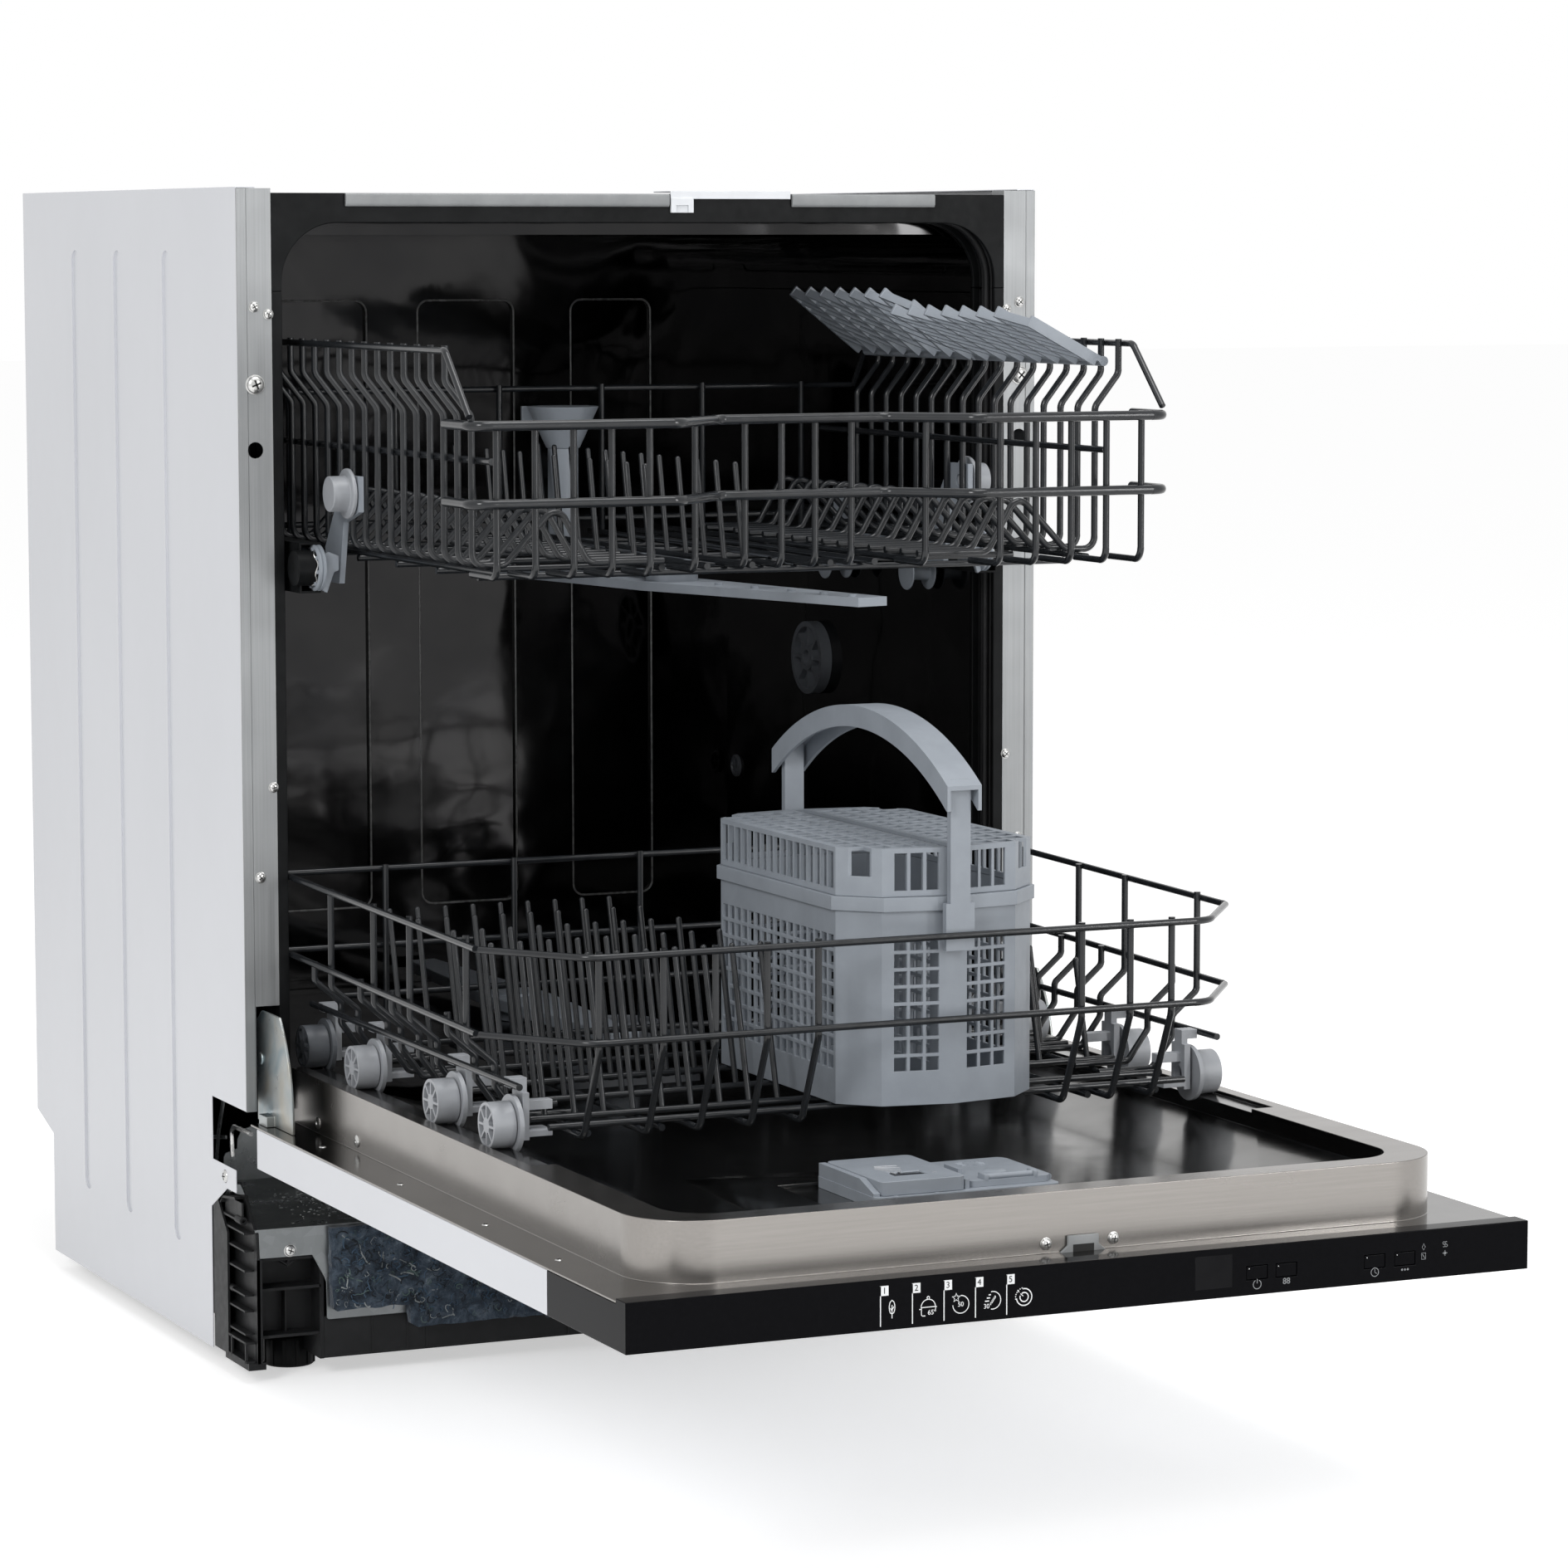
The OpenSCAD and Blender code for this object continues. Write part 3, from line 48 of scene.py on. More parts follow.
# Pieces are drawn in millimetres: X to the right, Y into the cabinet from its front
# plane, Z up from the floor.
MM = 0.001
FRONT_PLANE = 0.079
TO_MODEL = Matrix.Translation((0, FRONT_PLANE, 0)) @ Matrix.Scale(MM, 4)
SIDES = (-1, 1)
SIDE_X, HINGE_X, TUB_X = 299, 287, 267  # cabinet's sides, door hinges, tub's inner faces
TUB_REAR_Y, PANEL_Y = 476.5, -668  # tub's rear wall, face of the control panel
RAIL_Y, RAIL_Z = -14, 560  # front ends of the upper rack's rails
slot_of = {part["node"]: part["material_slot"] for part in record["subparts"]}
body_of = {node: body for body, members in record["behaviour"]["bodies"].items()
           for node in members}


# ---------- finishes ----------

class Finish:
    """Node tree of one finish, read on the piece's own object coordinates."""

    def __init__(self, name):
        self.material = bpy.data.materials.new(name)
        self.material.use_nodes = True
        self.tree = self.material.node_tree
        self.shader = self.tree.nodes["Principled BSDF"]
        self.coords = self.tree.nodes.new("ShaderNodeTexCoord")

    def add(self, kind, **values):
        node = self.tree.nodes.new(kind)
        for key, value in values.items():
            if hasattr(node, key):
                setattr(node, key, value)
            else:
                node.inputs[key.replace("_", " ")].default_value = value
        return node

    def link(self, start, end):
        self.tree.links.new(start, end)

    def stretched(self, stretch):
        mapping = self.add("ShaderNodeMapping")
        mapping.inputs["Scale"].default_value = stretch
        self.link(self.coords.outputs["Object"], mapping.inputs["Vector"])
        return mapping.outputs["Vector"]

    def noise(self, scale, detail=4.0, rough=0.55, stretch=(1, 1, 1), warp=0.0):
        cloud = self.add("ShaderNodeTexNoise", Scale=scale, Detail=detail, Roughness=rough,
                         Distortion=warp)
        self.link(self.stretched(stretch), cloud.inputs["Vector"])
        return cloud.outputs["Fac"]

    def cells(self, scale, output="Distance"):
        spangle = self.add("ShaderNodeTexVoronoi", Scale=scale)
        self.link(self.stretched((1, 1, 1)), spangle.inputs["Vector"])
        return spangle.outputs[output]

    def ramp(self, value, *stops):
        ramp = self.add("ShaderNodeValToRGB")
        elements = ramp.color_ramp.elements
        while len(elements) < len(stops):
            elements.new(0.5)
        for element, (place, color) in zip(elements, stops):
            element.position = place
            element.color = (*color, 1)
        self.link(value, ramp.inputs["Fac"])
        return ramp.outputs["Color"]

    def tones(self, value, dark, light, margin=0.3):
        return self.ramp(value, (margin, dark), (1 - margin, light))

    def spread(self, value, low, high):
        spread = self.add("ShaderNodeMapRange")
        spread.inputs["From Min"].default_value = 0.3
        spread.inputs["From Max"].default_value = 0.7
        spread.inputs["To Min"].default_value = low
        spread.inputs["To Max"].default_value = high
        self.link(value, spread.inputs["Value"])
        return spread.outputs["Result"]

    def rough(self, scale, low, high, **cloud):
        return self.spread(self.noise(scale, **cloud), low, high)

    def bumps(self, *layers):
        """Relief from (height, depth in metres) layers, coarse to fine."""
        last = None
        for height, depth in layers:
            bump = self.add("ShaderNodeBump", Strength=1.0, Distance=depth)
            self.link(height, bump.inputs["Height"])
            if last:
                self.link(last, bump.inputs["Normal"])
            last = bump.outputs["Normal"]
        self.link(last, self.shader.inputs["Normal"])

    def surface(self, color, rough, metal=0.0, specular=0.5, coat=0.0, coat_rough=0.06):
        self.link(color, self.shader.inputs["Base Color"])
        self.link(rough, self.shader.inputs["Roughness"])
        self.shader.inputs["Metallic"].default_value = metal
        self.shader.inputs["Specular IOR Level"].default_value = specular
        self.shader.inputs["Coat Weight"].default_value = coat
        self.shader.inputs["Coat Roughness"].default_value = coat_rough
        return self.material


def plastic(name, dark, light, rough, grain=1300, depth=0.00002, specular=0.5, coat=0.0):
    """Moulded plastic: soft cloudiness, faint flow lines and a fine spark-eroded grain."""
    finish = Finish(name)
    cloud = finish.noise(45, detail=5)
    finish.bumps((finish.noise(grain, detail=2), depth))
    return finish.surface(finish.tones(cloud, dark, light, margin=0.35),
                          finish.rough(160, *rough), specular=specular, coat=coat)


def white_paint():
    """Powder coat over thin sheet: fine orange peel and a very slow waviness."""
    finish = Finish("white_paint")
    finish.bumps((finish.noise(3.2, detail=1, stretch=(1, 1, 0.5)), 0.0006),
                 (finish.noise(700, detail=1), 0.000004))
    return finish.surface(
        finish.tones(finish.noise(5), (0.655, 0.67, 0.71), (0.685, 0.70, 0.74)),
        finish.rough(20, 0.20, 0.26), coat=0.2)


def galvanised():
    """Zinc coated sheet: small soft spangle, rolling lines and dull handling marks."""
    finish = Finish("galvanised")
    spangle = finish.cells(160, "Color")
    value = finish.add("ShaderNodeRGBToBW")
    finish.link(spangle, value.inputs["Color"])
    finish.bumps((finish.noise(240, detail=3, stretch=(1, 1, 0.06)), 0.00002))
    return finish.surface(
        finish.tones(value.outputs["Val"], (0.165, 0.175, 0.178), (0.205, 0.216, 0.22),
                     margin=0.0),
        finish.rough(35, 0.24, 0.38, detail=6), metal=0.9)


def post_sheet():
    """Plain zinc sheet of the front posts: even, with upright drawing lines."""
    finish = Finish("post_sheet")
    lines = finish.noise(900, detail=3, stretch=(1, 1, 0.01))
    finish.bumps((lines, 0.00001))
    return finish.surface(finish.tones(lines, (0.255, 0.263, 0.268), (0.295, 0.303, 0.308)),
                          finish.rough(30, 0.36, 0.46), metal=0.55)


def stainless():
    """Bright drawn stainless sheet: mirror-like, slowly wavy, with hairline polish marks. Its
    colour is kept near black as a painted dark reflection, standing for the dark surroundings the
    tub's walls mirror.
    """
    finish = Finish("stainless")
    finish.bumps((finish.noise(6.5, detail=1.5, warp=0.8), 0.0024),
                 (finish.noise(24, detail=2), 0.00016))
    return finish.surface(
        # painted dark reflection: near-black tones in place of the dark room the steel would
        # mirror
        finish.tones(finish.noise(9, detail=3), (0.026, 0.026, 0.027),
                     (0.036, 0.0355, 0.0355)),
        finish.rough(14, 0.05, 0.10, detail=5), metal=1.0)


def liner_steel():
    """Brushed stainless of the door liner, its grain running across the door."""
    finish = Finish("liner_steel")
    grain = finish.noise(620, detail=4, rough=0.7, stretch=(0.02, 1, 1))
    finish.bumps((finish.noise(4, detail=1), 0.0003), (grain, 0.000008))
    return finish.surface(
        finish.tones(grain, (0.25, 0.236, 0.222), (0.285, 0.27, 0.255), margin=0.25),
        finish.rough(30, 0.22, 0.28, detail=5, stretch=(0.2, 1, 1)), metal=1.0)


def dish_steel():
    """Polished floor of the liner's dish, gently wavy from the press."""
    finish = Finish("dish_steel")
    finish.bumps((finish.noise(5, detail=1.5), 0.0007), (finish.noise(26, detail=2), 0.00006))
    return finish.surface(
        finish.tones(finish.noise(12, detail=3), (0.115, 0.112, 0.108),
                     (0.145, 0.141, 0.136)),
        finish.rough(18, 0.12, 0.20, detail=5), metal=1.0)


def gloss_black():
    """Printed glass-like black face: nearly flawless, with the faintest dust texture."""
    finish = Finish("gloss_black")
    finish.bumps((finish.noise(6, detail=1), 0.0001))
    return finish.surface(
        finish.tones(finish.noise(400, detail=6), (0.0022, 0.0022, 0.003),
                     (0.0032, 0.0032, 0.0042)),
        finish.rough(60, 0.10, 0.14), specular=0.04)


def coated_wire():
    """Polyamide dipped wire: dark grey, softly uneven where the coating ran."""
    finish = Finish("coated_wire")
    finish.bumps((finish.noise(110, detail=2), 0.00010), (finish.noise(900, detail=1), 0.000008))
    return finish.surface(
        finish.tones(finish.noise(60, detail=4), (0.012, 0.0135, 0.0155),
                     (0.019, 0.021, 0.024)),
        finish.rough(90, 0.15, 0.22), specular=0.35, coat=0.12)


def zinc():
    """Bright plated zinc of the screws and springs."""
    finish = Finish("zinc")
    finish.bumps((finish.noise(800, detail=3), 0.00002))
    return finish.surface(
        finish.tones(finish.noise(300), (0.50, 0.50, 0.49), (0.62, 0.62, 0.61)),
        finish.rough(200, 0.20, 0.34), metal=1.0)


def passivated():
    """Hinge plate zinc with the faint blue and straw bloom of its passivation."""
    finish = Finish("passivated")
    finish.bumps((finish.noise(300, detail=3), 0.00002))
    return finish.surface(
        finish.ramp(finish.noise(26, detail=2, warp=1.0), (0.30, (0.20, 0.27, 0.30)),
                    (0.5, (0.34, 0.36, 0.355)), (0.70, (0.36, 0.345, 0.30))),
        finish.rough(90, 0.26, 0.40, detail=4), metal=0.9)


def felt():
    """Pressed recycled fibre, blue-black with pale flecks and a soft nap."""
    finish = Finish("felt")
    cloud = finish.noise(75, detail=8, rough=0.75, warp=0.5)
    finish.bumps((finish.noise(120, detail=6), 0.0018), (finish.noise(700, detail=4), 0.0004))
    finish.shader.inputs["Sheen Weight"].default_value = 0.25
    return finish.surface(
        finish.ramp(cloud, (0.36, (0.010, 0.014, 0.020)), (0.50, (0.040, 0.056, 0.078)),
                    (0.60, (0.085, 0.11, 0.14)), (0.70, (0.22, 0.26, 0.30))),
        finish.spread(cloud, 0.85, 0.98), specular=0.2)


FINISH = {make.__name__: make() for make in (
    white_paint, galvanised, post_sheet, passivated, stainless, liner_steel, dish_steel,
    gloss_black, coated_wire, zinc, felt)}
COARSE = 0.00004
# name, dark tone, light tone, roughness from and to, relief and gloss where they differ
for name, dark, light, rough, more in (
        ("black_plastic", (0.006, 0.0064, 0.0068), (0.010, 0.0106, 0.0112), (0.34, 0.46),
         {"depth": COARSE, "specular": 0.08}),
        ("dark_plastic", (0.013, 0.0134, 0.014), (0.019, 0.0195, 0.0205), (0.40, 0.50),
         {"depth": COARSE, "specular": 0.14}),
        ("gray_plastic", (0.27, 0.298, 0.335), (0.30, 0.33, 0.37), (0.36, 0.46), {}),
        ("light_gray_plastic", (0.34, 0.355, 0.38), (0.38, 0.395, 0.42), (0.34, 0.44), {}),
        ("dim_plastic", (0.10, 0.108, 0.12), (0.12, 0.13, 0.145), (0.38, 0.48), {}),
        ("dim_window", (0.012, 0.014, 0.018), (0.02, 0.022, 0.028), (0.12, 0.2),
         {"specular": 0.6}),
        ("dark_screen", (0.004, 0.004, 0.005), (0.007, 0.007, 0.008), (0.16, 0.24),
         {"specular": 0.07}),
        ("seal_rubber", (0.008, 0.008, 0.009), (0.014, 0.014, 0.015), (0.5, 0.64),
         {"specular": 0.4}),
        # painted highlight: lighter grey for the light caught by the folded edges of the tub's
        # pressed panels
        ("fold_steel", (0.13, 0.13, 0.13), (0.22, 0.22, 0.22), (0.22, 0.32),
         {"specular": 0.8}),
        ("trim_metal", (0.22, 0.23, 0.235), (0.27, 0.28, 0.285), (0.30, 0.40), {}),
        ("latch_white", (0.70, 0.72, 0.75), (0.76, 0.78, 0.81), (0.30, 0.40), {}),
        ("white_print", (0.78, 0.79, 0.80), (0.84, 0.85, 0.86), (0.45, 0.55), {}),
        ("gray_print", (0.22, 0.23, 0.24), (0.27, 0.28, 0.29), (0.45, 0.55), {}),
        ("shadow", (0.004, 0.004, 0.004), (0.008, 0.008, 0.008), (0.6, 0.7), {}),
        ("scuff", (0.42, 0.44, 0.44), (0.6, 0.62, 0.62), (0.3, 0.5), {}),
        ("fibre_dark", (0.004, 0.006, 0.009), (0.012, 0.016, 0.022), (0.8, 0.95), {}),
        ("fibre_pale", (0.16, 0.18, 0.19), (0.40, 0.43, 0.43), (0.8, 0.95), {}),
        ("fibre_blue", (0.03, 0.06, 0.10), (0.08, 0.13, 0.19), (0.8, 0.95), {}),
        ("fibre_green", (0.05, 0.09, 0.085), (0.12, 0.17, 0.16), (0.8, 0.95), {})):
    FINISH[name] = plastic(name, dark, light, rough, **more)

# nodes whose finish differs from their slot's
NODE_FINISH = {"door_liner": "liner_steel", "front_posts": "post_sheet",
               "hinge_plates": "passivated", "wheels_rear": "dim_plastic",
               "wall_vent": "dim_plastic", "sump_filter": "dim_plastic"}


def finish_of(node):
    return NODE_FINISH.get(node, slot_of[node])


for name, node in nodes.items():
    node.data.materials.clear()
    node.data.materials.append(FINISH[finish_of(name)])


# ---------- making pieces ----------

def new_object(name, data):
    thing = bpy.data.objects.new(name, data)
    bpy.context.scene.collection.objects.link(thing)
    return thing


def baked(name, shape):
    """Mesh of a bmesh, which is freed."""
    mesh = bpy.data.meshes.new(name)
    shape.to_mesh(mesh)
    shape.free()
    return mesh


def settle(name, mesh, finish, body, crease=40):
    """Turn a mesh in model space into a piece that rides on its body."""
    mesh.materials.clear()
    mesh.materials.append(FINISH[finish])
    mesh.shade_smooth()
    mesh.set_sharp_from_angle(angle=math.radians(crease))
    piece = new_object(name, mesh)
    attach(piece, body)
    return piece


def finished(name, shape, finish, body, crease=40, replaces=None):
    """Settle a bmesh drawn in millimetres, where it may stand for a node."""
    bmesh.ops.recalc_face_normals(shape, faces=shape.faces)
    bmesh.ops.transform(shape, matrix=TO_MODEL, verts=shape.verts)
    piece = settle(name, baked(name, shape), finish, body, crease)
    if replaces:
        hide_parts(replaces)


def round_edges(shape, width, crease=40, segments=2, verts=None):
    """Small radius on the sharp edges of the shape, or of the given corners alone."""
    chosen = set(verts) if verts else None
    sharp = [edge for edge in shape.edges
             if edge.is_manifold and edge.calc_face_angle() > math.radians(crease)
             and (chosen is None or all(vert in chosen for vert in edge.verts))]
    bmesh.ops.bevel(shape, geom=sharp, offset=width, offset_type="OFFSET", segments=segments,
                    profile=0.5, affect="EDGES", clamp_overlap=True, material=-1)


WELD = 3e-6  # metres
FLAT = math.radians(0.8)


def soften(name, width, segments):
    """Stand-in for a rigid node with its sharp edges broken by a small radius."""
    node = nodes[name]
    shape = bmesh.new()
    shape.from_mesh(node.data)
    bmesh.ops.remove_doubles(shape, verts=shape.verts, dist=WELD)
    bmesh.ops.dissolve_limit(shape, angle_limit=FLAT, verts=shape.verts, edges=shape.edges)
    round_edges(shape, width * MM, crease=32, segments=segments)
    new_name = name + "_finished"
    piece = settle(new_name, baked(new_name, shape), finish_of(name), body_of[name],
                   50)
    even = piece.modifiers.new("even_shading", "WEIGHTED_NORMAL")
    even.keep_sharp = True
    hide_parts(name)


def facing(axis):
    """Turn that brings Z onto the axis."""
    return Vector((0, 0, 1)).rotation_difference(Vector(axis)).to_matrix().to_4x4()


def block(shape, low, high):
    """Box between two corners."""
    low, high = Vector(low), Vector(high)
    size = Matrix.Diagonal((*(high - low), 1))
    return bmesh.ops.create_cube(shape, size=1,
                                 matrix=Matrix.Translation((low + high) / 2) @ size)["verts"]


def drum(shape, start, end, radius, sides):
    """Round bar between two points."""
    start, end = Vector(start), Vector(end)
    bmesh.ops.create_cone(
        shape, cap_ends=True, segments=sides, radius1=radius, radius2=radius,
        depth=(end - start).length,
        matrix=Matrix.Translation((start + end) / 2) @ facing(end - start))


def turned(shape, middle, axis, profile, sides=48):
    """Full spin of a closed profile of (radius, height) points about an axis."""
    verts = [shape.verts.new((radius, 0, height)) for radius, height in profile]
    edges = [shape.edges.new((verts[i], verts[(i + 1) % len(verts)]))
             for i in range(len(verts))]
    bmesh.ops.spin(shape, geom=verts + edges, cent=(0, 0, 0), axis=(0, 0, 1),
                   angle=math.tau, steps=sides, use_merge=True)
    whole = set(verts)
    todo = list(verts)
    while todo:
        for edge in todo.pop().link_edges:
            for vert in edge.verts:
                if vert not in whole:
                    whole.add(vert)
                    todo.append(vert)
    bmesh.ops.transform(shape, matrix=Matrix.Translation(middle) @ facing(axis),
                        verts=list(whole))


def plate(shape, outline, thickness, place=Matrix.Identity(4)):
    """Flat outline in X and Y, given a thickness along Z, then placed."""
    face = shape.faces.new([shape.verts.new((x, y, 0)) for x, y in outline])
    grown = bmesh.ops.extrude_face_region(shape, geom=[face])["geom"]
    top = [item for item in grown if isinstance(item, bmesh.types.BMVert)]
    bmesh.ops.translate(shape, vec=(0, 0, thickness), verts=top)
    verts = list(face.verts) + top
    bmesh.ops.transform(shape, matrix=place, verts=verts)
    return verts


def add_curve(shape, curve, place):
    """Turn a curve or text into a mesh, place it and add it to the shape."""
    holder = new_object(curve.name, curve)
    mesh = bpy.data.meshes.new_from_object(holder.evaluated_get(
        bpy.context.evaluated_depsgraph_get()))
    bpy.data.objects.remove(holder)
    mesh.transform(place)
    shape.from_mesh(mesh)
    bpy.data.meshes.remove(mesh)


def threads(shape, strokes, radius, closed=False, flat=1.0, place=Matrix.Identity(4),
            steps=1):
    """Thin lines that follow 3-D points, their section flattened along Z before placing."""
    curve = bpy.data.curves.new("line", "CURVE")
    curve.dimensions = "3D"
    curve.bevel_depth = radius
    curve.bevel_resolution = steps
    curve.use_fill_caps = True
    for points in strokes:
        spline = curve.splines.new("POLY")
        spline.points.add(len(points) - 1)
        for point, where in zip(spline.points, points):
            point.co = (where[0], where[1], where[2] if len(where) > 2 else 0, 1)
        spline.use_cyclic_u = closed
    add_curve(shape, curve, place @ Matrix.Diagonal((1, 1, flat, 1)))


def bead(shape, points, radius, **more):
    threads(shape, [points], radius, **more)


def lettering(shape, text, size, place, x, y, raised):
    """Plain figures, their middle at x, y of the place."""
    curve = bpy.data.curves.new("figure", "FONT")
    curve.body = text
    curve.size = size
    curve.extrude = raised
    curve.align_x = "CENTER"
    curve.align_y = "CENTER"
    add_curve(shape, curve, place @ Matrix.Translation((x, y, 0)))


def ring(x, y, radius, turns):
    """Points of a circle at the given turns in degrees."""
    return [(x + radius * math.cos(math.radians(turn)), y + radius * math.sin(math.radians(turn)))
            for turn in turns]


def arc(x, y, radius, start, end, steps=24):
    return ring(x, y, radius, [start + (end - start) * i / steps for i in range(steps + 1)])


def upright(y, points):
    """Points of X and Z, stood up at one depth."""
    return [(x, y, z) for x, z in points]


# ---------- rigid nodes with broken edges ----------

# radius of each node's edges in millimetres
EDGE = {"side_panel_left": 0.5, "side_panel_right": 0.5, "front_posts": 0.35, "frame_top": 0.8,
        "frame_sides": 0.8, "top_trims": 0.5, "door_latch": 0.4, "tub_rear_wall": 0.7,
        "wall_vent": 0.6, "sump_filter": 0.8, "rack_rails": 0.4,
        "door_outer_panel": 0.8, "door_liner": 1.1, "door_fascia": 0.5, "hinge_plates": 0.5,
        "power_button": 0.5, "programme_button": 0.5, "delay_button": 0.5, "option_button": 0.5,
        "dispenser_body": 1.6, "dispenser_lid": 1.2, "rinse_aid_flap": 0.8,
        "roller_clips": 0.8, "rack_feed": 1.2, "upper_spray_arm": 0.9, "lower_spray_arm": 0.9,
        "cup_shelf_front": 0.35, "cup_shelf_rear": 0.35, "wheel_clips": 0.6,
        "rack_rollers_front": 0.8, "rack_rollers_rear": 0.8, "spare_rollers": 0.8,
        "tub_rollers_front": 0.8, "tub_rollers_rear": 0.8, "wheels_front": 0.5,
        "wheels_second": 0.5, "wheels_third": 0.5, "wheels_rear": 0.5, "basket_body": 0.3,
        "basket_lid_left": 0.3, "basket_lid_right": 0.3, "basket_handle": 1.0}
LATTICES = ("basket_body", "cup_shelf_front", "cup_shelf_rear")
for name, width in EDGE.items():
    soften(name, width, segments=1 if name in LATTICES else 2)


# ---------- control panel ----------

FACE = (Matrix.Translation((0, PANEL_Y - 0.02, 0))
        @ Matrix.Rotation(math.radians(90), 4, "X"))
PRINT_Y = PANEL_Y - 0.12
PRINT_WIDTH = 0.26
THIN = 0.17
PROGRAMME_XS = (-139.2, -118.8, -98.5, -78.2, -57.9)
BUTTON_XS = {"power_button": 109, "programme_button": 129, "delay_button": 190,
             "option_button": 211}


def draw(shape, *strokes, width=PRINT_WIDTH, closed=False):
    """Printed lines on the panel's face, given in X and Z."""
    for stroke in strokes:
        bead(shape, stroke, width, closed=closed, flat=0.3, place=FACE)


def panel_print():
    """Five numbered programme icons."""
    shape = bmesh.new()
    figures = bmesh.new()
    for number, x in enumerate(PROGRAMME_XS):
        block(shape, (x - 0.3, PRINT_Y, 156.5), (x + 0.3, PANEL_Y, 180))
        block(shape, (x - 0.3, PRINT_Y, 174.4), (x + 5.1, PANEL_Y, 180.2))
        lettering(figures, str(number + 1), 5.2, FACE, x + 2.5, 177.2, raised=0.2)
    # leaf with its vein and stalk
    x, z = PROGRAMME_XS[0] + 7.4, 167
    edge = [(x, z + 4.4), *arc(x - 6.3, z + 0.3, 8.1, 28, -24, 8)[1:], (x, z - 3.6)]
    draw(shape, edge, [(2 * x - a, b) for a, b in edge],
         [(x, z + 1.6), (x, z - 6.2)], [(x, z - 1.2), (x + 1.2, z + 0.6)],
         [(x, z - 1.8), (x - 1.1, z - 0.2)])
    # pot under a domed lid, with its degrees
    x, z = PROGRAMME_XS[1] + 10.2, 166
    draw(shape, arc(x, z - 0.6, 4.6, 0, 180), [(x - 4.9, z - 0.6), (x + 4.9, z - 0.6)],
         arc(x, z + 4.9, 0.8, -60, 240, 10),
         [(x + 5.6, z - 0.8), (x + 4.7, z - 0.8), (x + 4.7, z - 2.2)],
         [(x - 5.8, z - 1.6), (x - 4.4, z - 1.6)],
         [(x - 4.4, z - 0.8), (x - 4.4, z - 5.0), (x - 3.7, z - 5.6), (x - 1.9, z - 5.6)])
    lettering(shape, "65", 4.0, FACE, x + 1.6, z - 3.9, raised=0.1)
    draw(shape, arc(x + 4.4, z - 2.9, 0.45, 0, 360, 10), width=0.16)
    # star on a ring, with its degrees
    x, z = PROGRAMME_XS[2] + 10.9, 165.2
    draw(shape, arc(x, z, 5.2, 92, -178))
    tips = ring(x - 3.0, z + 4.1, 2.7, range(90, -270, -72))
    dents = ring(x - 3.0, z + 4.1, 1.15, range(54, -306, -72))
    draw(shape, [point for pair in zip(tips, dents) for point in pair], closed=True)
    lettering(shape, "50", 3.9, FACE, x - 0.1, z, raised=0.1)
    # clock hand with speed lines and its minutes
    x, z = PROGRAMME_XS[3] + 11.2, 165.8
    draw(shape, arc(x, z, 5.2, 102, -102))
    draw(shape, [(x - 1.6, z - 1.6), (x + 1.6, z + 2.6), (x + 1.9, z + 1.9), (x - 0.5, z - 1.5)],
         closed=True)
    draw(shape, [(x - 2.6, z + 3.4), (x - 1.2, z + 3.4)], [(x - 3.8, z + 1.6), (x - 1.7, z + 1.6)],
         [(x - 5.0, z - 0.2), (x - 2.3, z - 0.2)], width=0.34)
    lettering(shape, "30", 3.9, FACE, x - 4.0, z - 3.3, raised=0.1)
    draw(shape, [(x - 1.3, z - 1.9), (x - 1.3, z - 2.7)])
    # double ring left by a dotted trail
    x, z = PROGRAMME_XS[4] + 11.4, 166
    draw(shape, arc(x, z, 5.0, 100, -175), arc(x, z, 2.7, 125, -200), width=0.34)
    for spot in ring(x, z, 5.6, range(188, 90, -14)):
        draw(shape, arc(*spot, 0.22, 0, 360, 6), width=0.18)
    draw(shape, [(x - 4.4, z + 4.4), (x - 3.2, z + 3.1)], [(x - 2.4, z + 2.2), (x - 0.6, z + 0.6)])
    finished("panel_print", shape, "white_print", "door")
    finished("panel_figures", figures, "gloss_black", "door")


